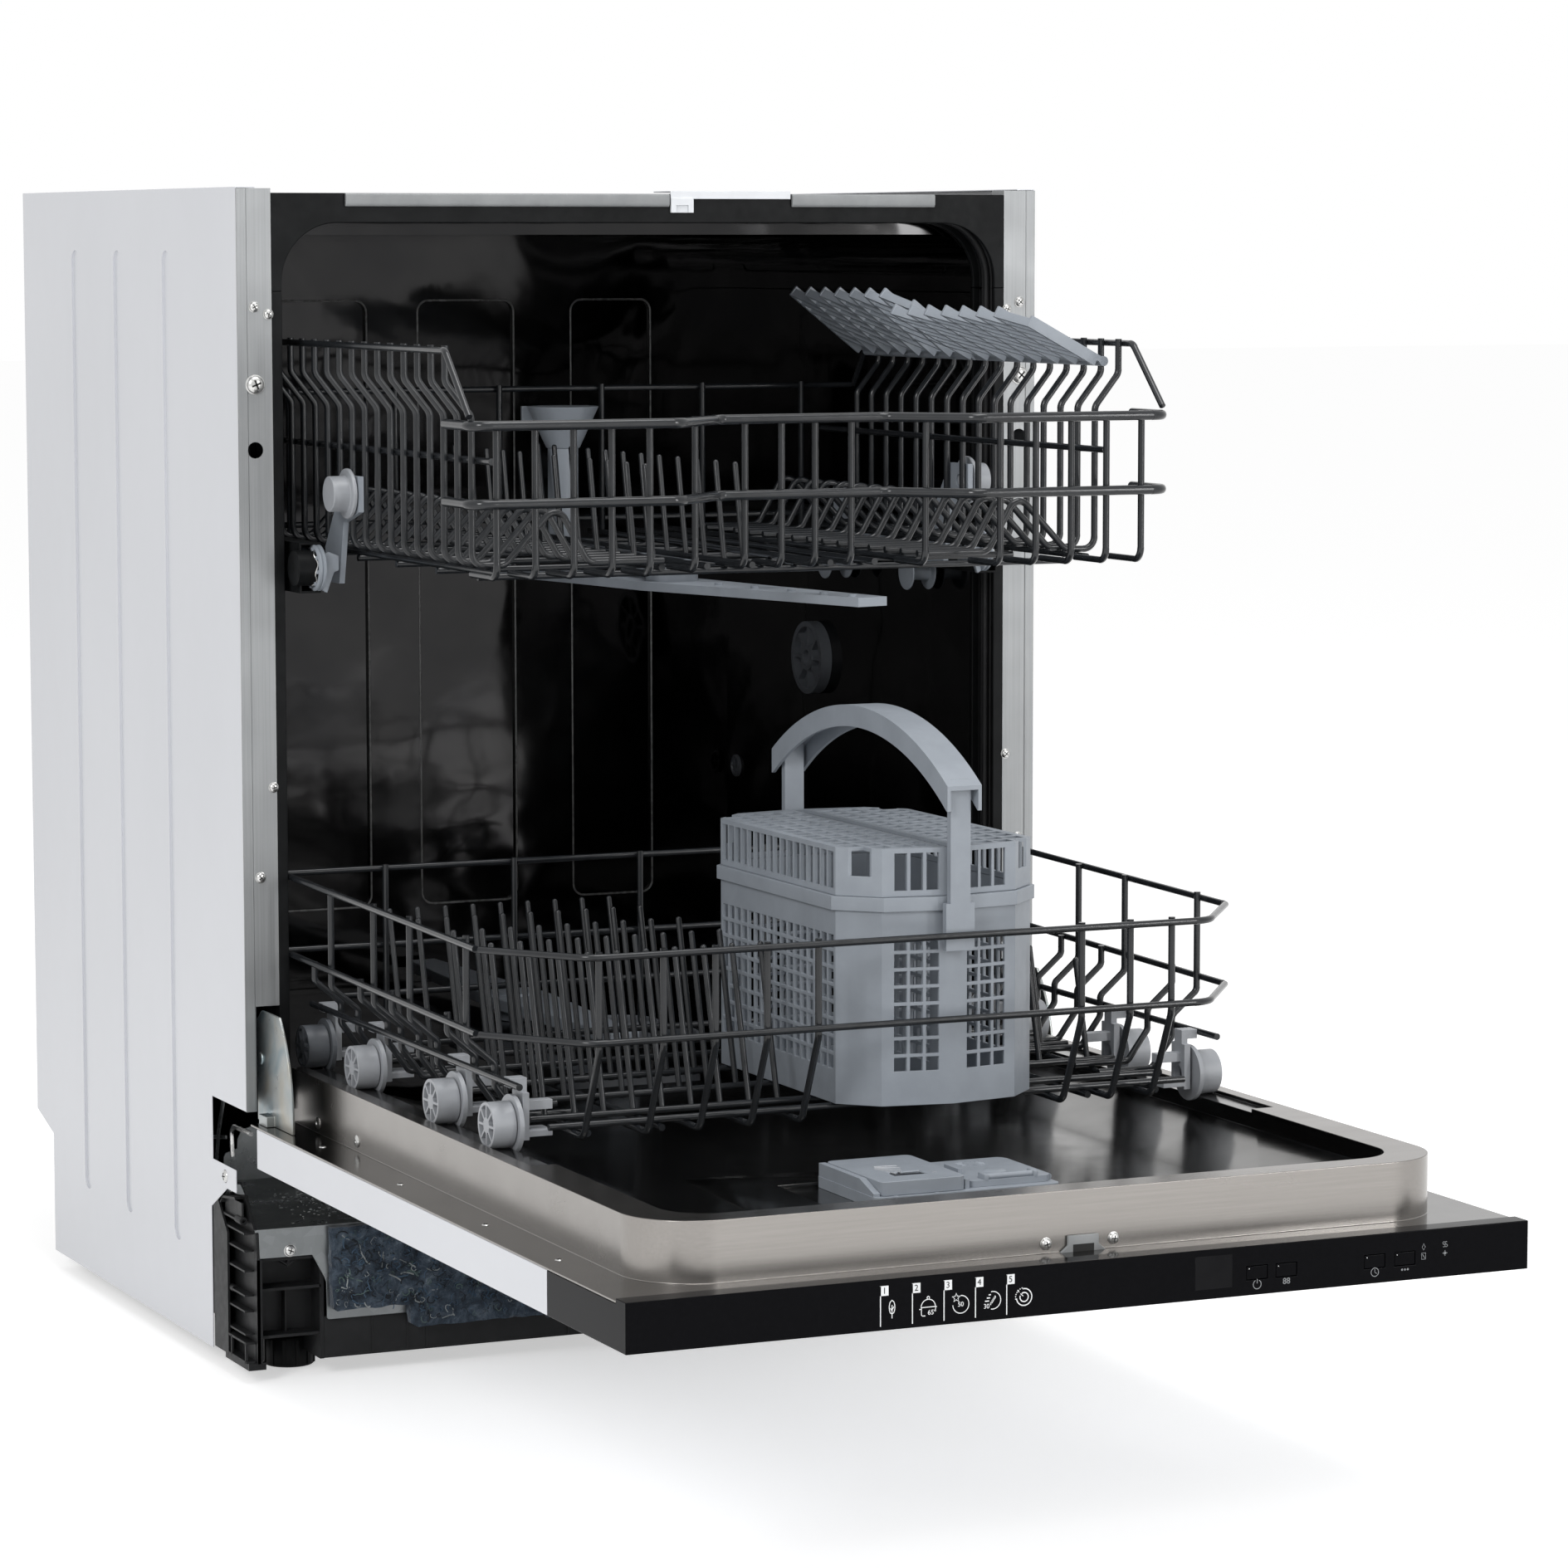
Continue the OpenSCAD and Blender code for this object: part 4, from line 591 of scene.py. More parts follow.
def panel_marks():
    """Dim marks under the push buttons, the display and the two indicator lights."""
    shape = bmesh.new()
    # on and off, digits, clock, three dots
    x, z = BUTTON_XS["power_button"], 160.3
    draw(shape, arc(x, z, 2.7, 118, 422), [(x, z + 3.3), (x, z + 0.6)], width=THIN + 0.05)
    lettering(shape, "88", 5.2, FACE, BUTTON_XS["programme_button"], z + 0.3, raised=0.05)
    x = BUTTON_XS["delay_button"]
    draw(shape, arc(x, z + 0.6, 2.6, 0, 360), [(x, z + 2.4), (x, z + 0.5), (x + 1.3, z - 0.3)],
         width=THIN + 0.03)
    for shift in (-2, 0, 2):
        draw(shape, arc(BUTTON_XS["option_button"] + shift, z + 0.5, 0.4, 0, 360, 8), width=0.3)
    # salt and rinse aid lights
    x = 224
    draw(shape, [(x, 175.6), (x + 1.1, 173.4), (x, 171.6), (x - 1.1, 173.4)],
         [(x - 1.4, 169.8), (x + 1.4, 169.8), (x + 1.4, 166.0), (x - 1.4, 166.0)],
         closed=True, width=THIN)
    draw(shape, [(x - 0.9, 169.2), (x + 0.2, 167.6), (x + 0.9, 166.6)], width=THIN)
    x = 239
    for shift in (-0.8, 0.8):
        draw(shape, arc(x + shift, 174.8, 0.8, 40, 250, 8)
             + arc(x + shift, 173.2, 0.8, 70, -140, 8), width=THIN)
    for turn in (0, 45, 90, 135):
        reach = 1.7 if turn % 90 == 0 else 1.0
        draw(shape, ring(x, 168.6, reach, (turn + 180, turn)), width=THIN)
    finished("panel_marks", shape, "gray_print", "door")
    screen = bmesh.new()
    block(screen, (67, PANEL_Y - 0.1, 160), (92, PANEL_Y + 0.1, 180))
    round_edges(screen, 0.08, segments=1)
    finished("panel_display", screen, "dark_screen", "door")
    for node, x in BUTTON_XS.items():
        spot = bmesh.new()
        turned(spot, (x - 5.4, PANEL_Y + 0.16, 170.1), (0, -1, 0),
               [(0, 0), (0.32, 0), (0.24, 0.14), (0, 0.18)], sides=10)
        finished(node + "_lamp", spot, "white_print", node)


# ---------- door ----------

def dish_pressing():
    """Pressed facets that lead down to the dispenser in the dish floor."""
    shape = bmesh.new()
    outer_z, inner_z, sunk_z = 190.3, 192.6, 189.6
    apex, far, left_end = (shape.verts.new((x, y, outer_z)) for x, y in (
        (-130, -356), (-36, -366), (-140, -560)))
    knee, inner, right_end = (shape.verts.new((x, y, inner_z)) for x, y in (
        (-89.5, -413), (-36, -411), (-92, -560)))
    left = shape.faces.new([apex, left_end, right_end, knee])
    rear = shape.faces.new([apex, knee, inner, far])
    grown = bmesh.ops.extrude_face_region(shape, geom=[left, rear])["geom"]
    for item in grown:
        if isinstance(item, bmesh.types.BMVert):
            item.co.z = sunk_z
    round_edges(shape, 1.1, crease=4, segments=3)
    finished("dish_pressing", shape, "dish_steel", "door")


def polish_dish():
    """The liner's inner faces are mirror-like, its outer walls and flange are brushed."""
    mesh = bpy.data.objects["door_liner_finished"].data
    mesh.materials.append(FINISH["dish_steel"])
    rim_z, half_x, front_y, rear_y = 219, 271, -628, -8
    for face in mesh.polygons:
        x, y = face.center.x / MM, face.center.y / MM - FRONT_PLANE / MM
        inward = -face.normal.x * x - face.normal.y * (y - (front_y + rear_y) / 2)
        if (face.center.z / MM < rim_z and abs(x) < half_x and front_y < y < rear_y
                and (face.normal.z > 0.5 or inward > 1)):
            face.material_index = 1


def rim_rivets():
    """Screws through the side walls of the liner's rim."""
    shape = bmesh.new()
    for side in SIDES:
        for y in (-58, -136):
            turned(shape, (side * (TUB_X + 0.9), y, 189.5), (side, 0, 0),
                   [(0, 0), (4.2, 0), (4.2, 0.5), (3.2, 1.1), (1.2, 1.3), (1.0, 0.8), (0, 0.8)],
                   sides=24)
    finished("rim_rivets", shape, "zinc", "door")


def dispenser_details():
    """Raised fan, plus sign and window on the lid, ridged knob and bail on the flap."""
    fan = bmesh.new()
    place = Matrix.Translation((0, 0, 206.0))
    for turn in (-34, -18, -2, 14, 30):
        a = math.radians(turn - 20)
        points = [(-44 + r * math.cos(a - 0.012 * r), -447 + r * math.sin(a - 0.012 * r) * 1.4)
                  for r in (5, 9, 13, 17, 20)]
        bead(fan, points, 0.75, flat=0.5, place=place)
    lettering(fan, "+", 7, place, -12, -478, raised=0.25)
    finished("dispenser_fan", fan, "light_gray_plastic", "dispenser_lid")
    window = bmesh.new()
    block(window, (-39.4, -479.4, 204.6), (-18.6, -468.6, 205.5))
    round_edges(window, 0.3)
    finished("dispenser_window", window, "dim_window", "dispenser_lid")
    ridges = bmesh.new()
    flap_z = 201.1
    turns = range(0, 360, 30)
    threads(ridges, list(zip(ring(33, -436, 5.5, turns), ring(33, -436, 9.5, turns))),
            0.55, flat=0.8, place=Matrix.Translation((0, 0, flap_z)))
    turned(ridges, (36, -464, flap_z), (0, 0, 1),
           [(0, 0), (7.4, 0), (6.6, 0.5), (3.5, 1.0), (0, 1.1)], sides=32)
    for x in (17, 51):
        verts = block(ridges, (x - 1.6, -492, 199.5), (x + 1.6, -482, 204.6))
        round_edges(ridges, 0.7, verts=verts)
    drum(ridges, (17, -489, 202.6), (51, -489, 202.6), 1.9, 16)
    finished("flap_ridges", ridges, "gray_plastic", "rinse_aid_flap")
    posts = bmesh.new()
    for x in (-50, -22):
        block(posts, (x, -499.4, 192), (x + 3, -498, 197.5))
    round_edges(posts, 0.4)
    finished("dispenser_posts", posts, "gray_plastic", "door")


# ---------- rails ----------

def rail_stops():
    """Black drum, two-lipped gray flange, spring ring and hooked clip at each rail's front."""
    drums = bmesh.new()
    caps = bmesh.new()
    springs = bmesh.new()
    for side in SIDES:
        place = (side * 266.4, RAIL_Y, RAIL_Z)
        inward = (-side, 0, 0)
        turned(drums, place, inward, [(0, 0), (11.2, 0), (12.0, 0.8), (12.0, 14), (0, 14)],
               sides=40)
        turned(caps, place, inward,
               [(12.2, 14.2), (14.0, 13.4), (15.6, 14.2), (15.6, 15.6), (14.6, 16.4),
                (15.6, 17.2), (15.6, 18.6), (14.0, 19.4), (0, 19.4), (0, 14.2)], sides=48)
        for y, z in ring(RAIL_Y, RAIL_Z, 12.6, range(10, 360, 45)):
            block(caps, (side * 252.6 - 1.5, y - 1.0, z - 1.2),
                  (side * 252.6 + 1.5, y + 1.0, z + 1.2))
        wave = [(side * (253.6 + 0.9 * math.sin(6 * math.radians(turn))), y, z)
                for turn in range(0, 360, 6) for y, z in ring(RAIL_Y, RAIL_Z, 12.3, [turn])]
        bead(springs, wave, 0.45, closed=True, steps=2)
        stop = plate(caps, [(0, 9), (3, 11), (8, 9), (10.4, 8), (10.4, -2), (7, -3), (2, -17),
                            (-1, -15), (-1, -4)], 4.0,
                     Matrix.Translation((side * 246.2, RAIL_Y - 2, RAIL_Z))
                     @ Matrix.Rotation(math.radians(90), 4, "X")
                     @ Matrix.Diagonal((-side, 1, 1, 1)))
        round_edges(caps, 0.7, verts=stop)
    finished("rail_drums", drums, "black_plastic", "rack_rails")
    finished("rail_flanges", caps, "gray_plastic", "rack_rails")
    finished("rail_springs", springs, "zinc", "rack_rails")


# ---------- base and its fixings ----------

def side_block(shape, side, low, high):
    """Block given with distances from the middle plane, on one side of it."""
    xs = sorted((side * low[0], side * high[0]))
    block(shape, (xs[0], low[1], low[2]), (xs[1], high[1], high[2]))


def side_plate(shape, side, face_x, thickness, outline):
    """Plate that faces outwards, its outline in Y and Z."""
    plate(shape, outline, thickness, Matrix((
        (0, 0, -side, side * face_x), (1, 0, 0, 0), (0, 1, 0, 0), (0, 0, 0, 1))))


def front_plate(shape, face_y, thickness, outline):
    """Plate that faces the front, its outline in X and Z."""
    plate(shape, outline, thickness, Matrix((
        (1, 0, 0, 0), (0, 0, 1, face_y), (0, 1, 0, 0), (0, 0, 0, 1))))


def both_ways(outline):
    """Outline of the left half, run on through its mirror image."""
    return list(outline) + [(-x, z) for x, z in reversed(outline)]


# walls, floor and caps of a foot column, then the box over its foot, by distance outwards
FOOT_BLOCKS = (
    ((290, 75.6, 14), (298, 77, 118)), ((284, 9, 9), (296.5, 60, 14)),
    ((287.4, 6, 14), (291.2, 9, 86)), ((294.2, 24, 111), (295.5, 60, 123)),
    ((290, 24, 110.2), (297.6, 76, 111.6)), ((286.2, 9, 14), (288.2, 78, 85.6)),
    ((241, 12, 12.4), (244, 78, 85.6)), ((243, 30, 30), (287, 32, 85.6)),
    ((243, 76, 30), (287, 78, 85.6)), ((243, 12, 62.6), (287, 31, 64.6)),
    ((243, 13, 29.6), (287, 78, 31.6)), ((243, 12, 83.4), (287, 78, 85.2)),
    ((264.8, 22, 31), (265.8, 30.5, 62)))
FOOT_SHEETS = (
    (298.6, 1.6, [(47, 14), (77, 14), (77, 118), (69, 121.5), (47, 99)]),
    (291, 2.2, [(6, 14), (77, 14), (77, 121), (31, 127), (14, 108), (8, 104), (6, 86)]),
    (297.8, 7, [(70, 120), (72, 121.4), (33, 126), (31, 124.6)]))


def foot_brackets():
    """Ribbed corner columns of moulded plastic, each with the open box its foot screws into."""
    shape = bmesh.new()
    for side in SIDES:
        for face_x, thickness, outline in FOOT_SHEETS:
            side_plate(shape, side, face_x, thickness, outline)
        for low, high in FOOT_BLOCKS:
            side_block(shape, side, low, high)
        for z in (33, 49, 60, 77, 91, 103):
            side_block(shape, side, (290, 13, z), (297.6, 76, z + 1.3))
        for z in (14.2, 27.4):
            side_block(shape, side, (290, 9, z), (298.5, 76, z + 1.5))
        for x, y in ((296.9, 10), (296.9, 40), (290, 9)):
            side_block(shape, side, (x, y, 14), (x + 1.6, y + 1.6, 28.5))
        turned(shape, (side * 294.8, 22, 110.8), (0, 1, 0),
               [(1.3, 0), (2.7, 0), (2.9, 0.6), (2.9, 12), (1.3, 12)], sides=24)
        turned(shape, (side * 295.4, 40, 60.6), (0, 1, 0),
               [(1.2, 0), (2.4, 0), (2.4, 10), (1.2, 10)], sides=20)
        front_plate(shape, 60, 1.4, [(side * x, z) for x, z in (
            (SIDE_X, 118), (292.5, 132), (283.5, 130.5), (279.5, 118))])
        # three ribs that meet over the box
        middle = (side * 266.2, 79.4)
        for rib in ([(side * 273.5, 85), middle], [middle, (side * 258.8, 85)],
                    [(side * 266.2, 85), middle]):
            for y in (13.4, 22):
                bead(shape, upright(y, rib), 0.7)
        bead(shape, [(middle[0], y, middle[1]) for y in (13, 30)], 1.0)
    finished("foot_brackets", shape, "dark_plastic", "cabinet",
             replaces="base_brackets")


def base_pan():
    """Hollow plastic pan under the tub, cut back at its front corners, with a rear apron."""
    shape = bmesh.new()
    rear, front, half, cut = 465, 31, 262, 238
    low, height = 12, 88
    plate(shape, [(-cut, front), (cut, front), (cut, 82), (half, 84), (half, rear),
                  (-half, rear), (-half, 84), (-cut, 82)], height,
          Matrix.Translation((0, 0, low)))
    top = [face for face in shape.faces
           if all(vert.co.z > low + height - 1 for vert in face.verts)]
    bmesh.ops.delete(shape, geom=top, context="FACES_ONLY")
    bmesh.ops.recalc_face_normals(shape, faces=shape.faces)
    bmesh.ops.solidify(shape, geom=shape.faces[:], thickness=3)
    for x in range(-220, 221, 55):
        block(shape, (x - 0.8, 36, 14.6), (x + 0.8, 462, 24))
        block(shape, (x - 1, rear - 0.4, 16), (x + 1, rear + 0.8, 98))
    block(shape, (-298, rear - 3, 20), (298, rear, 197))
    finished("base_pan", shape, "dark_plastic", "cabinet", replaces="base_tray")


def toe_beam():
    """Ribbed plastic beam that joins the two foot boxes low across the front."""
    shape = bmesh.new()
    plate(shape, [(12, 12.5), (15, 12.5), (15, 38), (30, 38), (30, 42), (12, 42)], 482,
          Matrix(((0, 0, 1, -241), (1, 0, 0, 0), (0, 1, 0, 0), (0, 0, 0, 1))))
    round_edges(shape, 0.6)
    for x in (60, 166, 180, 206):
        for side in SIDES:
            block(shape, (side * x - 0.7, 11.5, 13.4), (side * x + 0.7, 12.6, 41.4))
    for x in range(-220, 221, 44):
        block(shape, (x - 0.9, 14, 13), (x + 0.9, 29.8, 38.4))
    finished("toe_beam", shape, "dark_plastic", "cabinet", replaces="front_beam")


def cross_sheet():
    """Folded zinc sheet: bar and apron across the front, cover over the base, rear gusset."""
    shape = bmesh.new()
    end_x, notch_x, rear_y, gauge = 291, 288.4, 196, 1.2
    front_plate(shape, 9, gauge, both_ways([
        (-end_x, 106.4), (-end_x, 86.2), (-250, 86.2), (-241.4, 70), (-240, 66), (-240, 41.5),
        (-238.6, 40)]))
    plate(shape, both_ways([(-notch_x, rear_y + 0.4), (-notch_x, 13), (-end_x, 12),
                            (-end_x, 9.4)]), 1.1, Matrix.Translation((0, 0, 105.3)))
    bead(shape, [(side * (end_x - 0.4), 9.7, 105.9) for side in SIDES], 0.75, steps=2)
    front_plate(shape, rear_y, gauge, both_ways([
        (-252, 105.6), (-252, 124), (-250.5, 127), (-246, 128.4), (-241.8, 129.7),
        (-241.4, 137), (-238, 143), (-225, 147)]))
    for side in SIDES:
        front_plate(shape, 58.4, gauge, [(side * x, z) for x, z in (
            (297.4, 121.6), (291.6, 131), (284.6, 129.6), (281.4, 121.6))])
    round_edges(shape, 0.25, segments=1)
    finished("cross_sheet", shape, "galvanised", "cabinet", replaces="front_crossbar")


SCUFFS = 220
COVER_Z = 106.42


def cover_scuffs():
    """Fine scratches rubbed into the cover sheet behind the bar."""
    shape = bmesh.new()
    for radius in (0.14, 0.22, 0.32):
        strokes = []
        for _ in range(SCUFFS):
            x = random.choice(SIDES) * min(280, abs(random.gauss(208, 24)))
            y = min(188, max(16, random.gauss(96, 28)))
            turn, reach = random.uniform(0, math.pi), random.uniform(0.5, 2.8)
            strokes.append([(x, y, COVER_Z), (x + reach * math.cos(turn),
                                              y + reach * math.sin(turn) * 0.7, COVER_Z)])
        threads(shape, strokes, radius, steps=0)
    finished("cover_scuffs", shape, "scuff", "cabinet", crease=80)


def hinge_springs():
    """Straight link and bent spring wire seen in the notch behind each hinge."""
    link = bmesh.new()
    wire = bmesh.new()
    for side in SIDES:
        side_plate(link, side, 289, 1.6, [(74, 200), (79, 200), (97.6, 161), (102.6, 139),
                                          (98.8, 138), (93.4, 160)])
        side_plate(link, side, 287, 1.6, [(84, 160), (112, 156), (112, 153.4), (84, 157.4)])
        bend = [(77.4, 146), (78.4, 153), *ring(71, 160, 8, range(0, 100, 15)), (46, 168.4),
                (36, 168.4)]
        bead(wire, [(side * 284, y, z) for y, z in bend], 1.7, steps=3)
    round_edges(link, 0.3, segments=1)
    finished("hinge_links", link, "galvanised", "cabinet")
    finished("hinge_springs", wire, "zinc", "cabinet")


# pan head by shares of its radius: (radius, height)
PAN_HEAD = ((0, 0), (1.12, 0), (1.12, 0.1), (1, 0.14), (0.97, 0.38), (0.8, 0.58), (0.42, 0.7),
            (0, 0.72))


def pan_screw(heads, slots, place, axis, radius):
    """Pan head with a cross recess, standing on its seat at the given place."""
    turned(heads, place, axis, [(r * radius, h * radius) for r, h in PAN_HEAD], sides=32)
    spot = (Matrix.Translation(place) @ facing(axis)
            @ Matrix.Rotation(random.uniform(0, 1.5), 4, "Z"))
    for quarter in (0, math.pi / 2):
        bmesh.ops.create_cube(slots, size=1, matrix=spot @ Matrix.Rotation(quarter, 4, "Z")
                              @ Matrix.Translation((0, 0, radius * 0.67))
                              @ Matrix.Diagonal((radius * 1.1, radius * 0.2, radius * 0.13, 1)))


# x, y, z and head radius of the screws that face the front: posts, frame, bar and tabs
FRONT_SCREWS = (
    (HINGE_X, 0.5, 735, 3.4), (HINGE_X, 0.5, 350, 3.4), (HINGE_X, 0.5, 683, 6.0),
    (277, 0.6, 730, 3.2), (277, 0.6, 411, 3.2), (266.2, 9, 90.6, 3.9), (290, 58.4, 125.8, 2.6))


def fixings():
    """Screws of the cabinet and their recesses."""
    heads = bmesh.new()
    slots = bmesh.new()
    for side in SIDES:
        for x, y, z, radius in FRONT_SCREWS:
            pan_screw(heads, slots, (side * x, y, z), (0, -1, 0), radius)
        pan_screw(heads, slots, (side * 297.3, 48.7, 138), (side, 0, 0), 4.4)
    finished("cabinet_fixings", heads, "zinc", "cabinet", replaces="cabinet_screws")
    finished("cabinet_slots", slots, "shadow", "cabinet")


def door_fixings():
    """Screws through the liner's rim and the strike plate in the middle of its front wall."""
    heads = bmesh.new()
    slots = bmesh.new()
    strike = bmesh.new()
    for side in SIDES:
        for y in (-110, -260, -410, -530):
            pan_screw(heads, slots, (side * 283, y, 181.3), (0, 0, 1), 2.8)
    for x in (-14, 31):
        pan_screw(heads, slots, (x, -632.05, 188.4), (0, -1, 0), 3.4)
    front_plate(strike, -634.4, 2.2, [(-5, 181.3), (25, 181.3), (25, 182.8), (20.4, 186.4),
                                      (20.4, 192.4), (-0.4, 192.4), (-0.4, 186.4),
                                      (-5, 182.8)])
    round_edges(strike, 0.6)
    block(slots, (3, -634.5, 182.4), (17, -634.3, 187))
    finished("door_fixings", heads, "zinc", "door", replaces="door_screws")
    finished("door_slots", slots, "shadow", "door")
    finished("door_strike", strike, "trim_metal", "door")


def screw_feet():
    """Ribbed front feet and flat rear feet."""
    shape = bmesh.new()
    for side in SIDES:
        turned(shape, (side * 249, 64, 0), (0, 0, 1),
               [(0, 0), (16.8, 0), (17.6, 0.8), (17.6, 19.4), (16.8, 20.6), (9, 20.6), (9, 24),
                (7, 24), (7, 29.8), (0, 29.8)], sides=64)
        for turn in range(0, 360, 30):
            verts = block(shape, (17.2, -1.1, 1.2), (18.3, 1.1, 19))
            bmesh.ops.rotate(shape, verts=verts, cent=(0, 0, 0),
                             matrix=Matrix.Rotation(math.radians(turn), 3, "Z"))
            bmesh.ops.translate(shape, verts=verts, vec=(side * 249, 64, 0))
        turned(shape, (side * 225, 440, 0), (0, 0, 1),
               [(0, 0), (18.2, 0), (19, 0.8), (19, 6.2), (18.2, 7), (12, 7.6), (11.4, 10), (6, 10),
                (6, 12.2), (0, 12.2)], sides=64)
    finished("screw_feet", shape, "black_plastic", "cabinet", replaces="feet")


def rear_strip():
    """Folded foot of the tub's rear wall, down to its floor."""
    shape = bmesh.new()
    block(shape, (-268, 475.9, 198.8), (268, 476.9, 206.4))
    block(shape, (-262, 473.2, 199.9), (262, 476.2, 200.7))
    round_edges(shape, 0.3, segments=1)
    finished("rear_strip", shape, "stainless", "cabinet")


# ---------- felt ----------

# left half of the felt's outline in X and Z
FELT_HALF = [(-238, 105), (-238, 49), (-235, 47), (-182, 47), (-181, 34), (-176, 31)]
FELT_FRONT, FELT_THICKNESS = 1.2, 7.6
CURLS = {"felt": 500, "fibre_dark": 420, "fibre_pale": 210, "fibre_blue": 420,
         "fibre_green": 160}


def felt_blanket():
    """Pressed recycled fibre: a lumpy slab with loose curls of thread on its face."""
    slab = bmesh.new()
    front_plate(slab, FELT_FRONT, FELT_THICKNESS,
                FELT_HALF + [(176, 31), (181, 34), (182, 46), (236, 46), (238, 49), (238, 105)])
    for axis, count in ((Vector((1, 0, 0)), 150), (Vector((0, 0, 1)), 22)):
        reach = [vert.co.dot(axis) for vert in slab.verts]
        low, high = min(reach), max(reach)
        for i in range(1, count):
            bmesh.ops.bisect_plane(slab, geom=slab.verts[:] + slab.edges[:] + slab.faces[:],
                                   plane_co=axis * (low + (high - low) * i / count),
                                   plane_no=axis)
    bmesh.ops.triangulate(slab, faces=slab.faces)
    for vert in slab.verts:
        spot = vert.co * 0.06
        if vert.co.y < 4:
            vert.co.y += 0.8 + 1.6 * noise.fractal(spot, 0.8, 2.0, 4)
        vert.co.z += 1.3 * noise.noise(spot * 1.5 + Vector((5, 0, 0)))
        vert.co.x += 1.0 * noise.noise(spot * 1.5 + Vector((0, 0, 9)))
    finished("felt_blanket", slab, "felt", "cabinet", crease=80, replaces="felt_mat")
    for finish, count in CURLS.items():
        curls = bmesh.new()
        strokes = []
        for _ in range(count):
            x = random.uniform(-235, 235)
            z = random.uniform(50 if x < -178 or x > 178 else 35, 102)
            heading = random.uniform(0, math.tau)
            bend = random.uniform(-1.1, 1.1)
            reach = random.uniform(0.9, 2.3)
            points = []
            for step in range(6):
                points.append((x, random.uniform(0.7, 2.2), z))
                x += reach * math.cos(heading)
                z += reach * math.sin(heading)
                heading += bend + random.uniform(-0.7, 0.7)
            strokes.append(points)
        for i, radius in enumerate((0.22, 0.34, 0.5)):
            threads(curls, strokes[i::3], radius, steps=0)
        finished("felt_curls_" + finish, curls, finish, "cabinet", crease=80)


# ---------- tub ----------

def wall_pocket():
    """Long pressed pockets under the tub ceiling, one in each side wall."""
    shape = bmesh.new()
    outline = (ring(440, 762, 7, range(-90, 91, 20)) + ring(90, 762, 7, range(90, 271, 20)))
    for side in SIDES:
        bead(shape, [(side * 269.2, y, z) for y, z in outline], 0.9, closed=True, steps=2)
    finished("wall_pocket", shape, "stainless", "cabinet")


PRESS_LOW, PRESS_TOP, PRESS_CORNER = 261, 733, 9
# middle and half width of each pressed panel
PRESSES = ((-199, 40), (-77, 40), (45, 40), (167, 34))


def press_fold_highlights():
    """Lighter grey beads round the pressed panels of the tub's rear wall. They stand for the
    folded edges, and their lighter grey is a painted highlight for the light those folds catch.
    """
    shape = bmesh.new()
    strokes = []
    low, high = PRESS_LOW + PRESS_CORNER, PRESS_TOP - PRESS_CORNER
    for middle, half in PRESSES:
        left, right = middle - half + PRESS_CORNER, middle + half - PRESS_CORNER
        outline = []
        for x, z, start in ((right, high, 0), (left, high, 90), (left, low, 180),
                            (right, low, 270)):
            outline += ring(x, z, PRESS_CORNER, range(start, start + 91, 15))
        strokes.append(upright(TUB_REAR_Y, outline))
    threads(shape, strokes, 0.9, closed=True, steps=2)
    finished("press_fold_highlights", shape, "fold_steel", "cabinet")


def wall_nozzle():
    """Small round spray nozzle low on the right wall."""
    shape = bmesh.new()
    middle_y, middle_z, grid_x = 457, 361, 265.2
    turned(shape, (TUB_X - 0.2, middle_y, middle_z), (-1, 0, 0),
           [(0, 0), (9, 0), (9, 1.4), (7.5, 2.4), (6.6, 2.2), (6, 1.2), (0, 1.2)], sides=32)
    for y, z in ring(middle_y, middle_z, 6.4, range(0, 360, 60)):
        bead(shape, [(grid_x, middle_y, middle_z), (grid_x, y, z)], 0.6)
    finished("wall_nozzle", shape, "dim_plastic", "cabinet")


# ---------- front frame ----------

def frame_lines():
    """Lip of the seal channel that follows the opening inside the frame."""
    shape = bmesh.new()
    half, top, low, radius = 270.6, 794.8, 192, 43
    corner_x, corner_z = half - radius, top - radius
    outline = [(-half, low), *ring(-corner_x, corner_z, radius, range(180, 89, -10)),
               *ring(corner_x, corner_z, radius, range(90, -1, -10)), (half, low)]
    for y in (12.5, 26):
        bead(shape, upright(y, outline), 0.9, steps=2)
    finished("frame_lines", shape, "seal_rubber", "cabinet")


# the order keeps the random draws as they are
for make in (panel_print, panel_marks, polish_dish, dish_pressing, rim_rivets,
             dispenser_details, rail_stops, foot_brackets, base_pan, toe_beam, cross_sheet,
             cover_scuffs, hinge_springs, fixings, door_fixings, screw_feet, rear_strip,
             felt_blanket, wall_pocket, press_fold_highlights, wall_nozzle, frame_lines):
    make()


# ---------- stage ----------

def white_when_seen(tree, low, high):
    """Strength that is high for what the camera, gloss and glass see, low for lighting."""
    path = tree.nodes.new("ShaderNodeLightPath")
    last = path.outputs["Is Camera Ray"]
    for other in ("Is Glossy Ray", "Is Transmission Ray"):
        larger = tree.nodes.new("ShaderNodeMath")
        larger.operation = "MAXIMUM"
        tree.links.new(last, larger.inputs[0])
        tree.links.new(path.outputs[other], larger.inputs[1])
        last = larger.outputs[0]
    spread = tree.nodes.new("ShaderNodeMapRange")
    spread.inputs["To Min"].default_value = low
    spread.inputs["To Max"].default_value = high
    tree.links.new(last, spread.inputs["Value"])
    return spread.outputs["Result"]


FLOOR_HALF, FLOOR_Z, FLOOR_GLOW = 30, -0.0004, 0.52


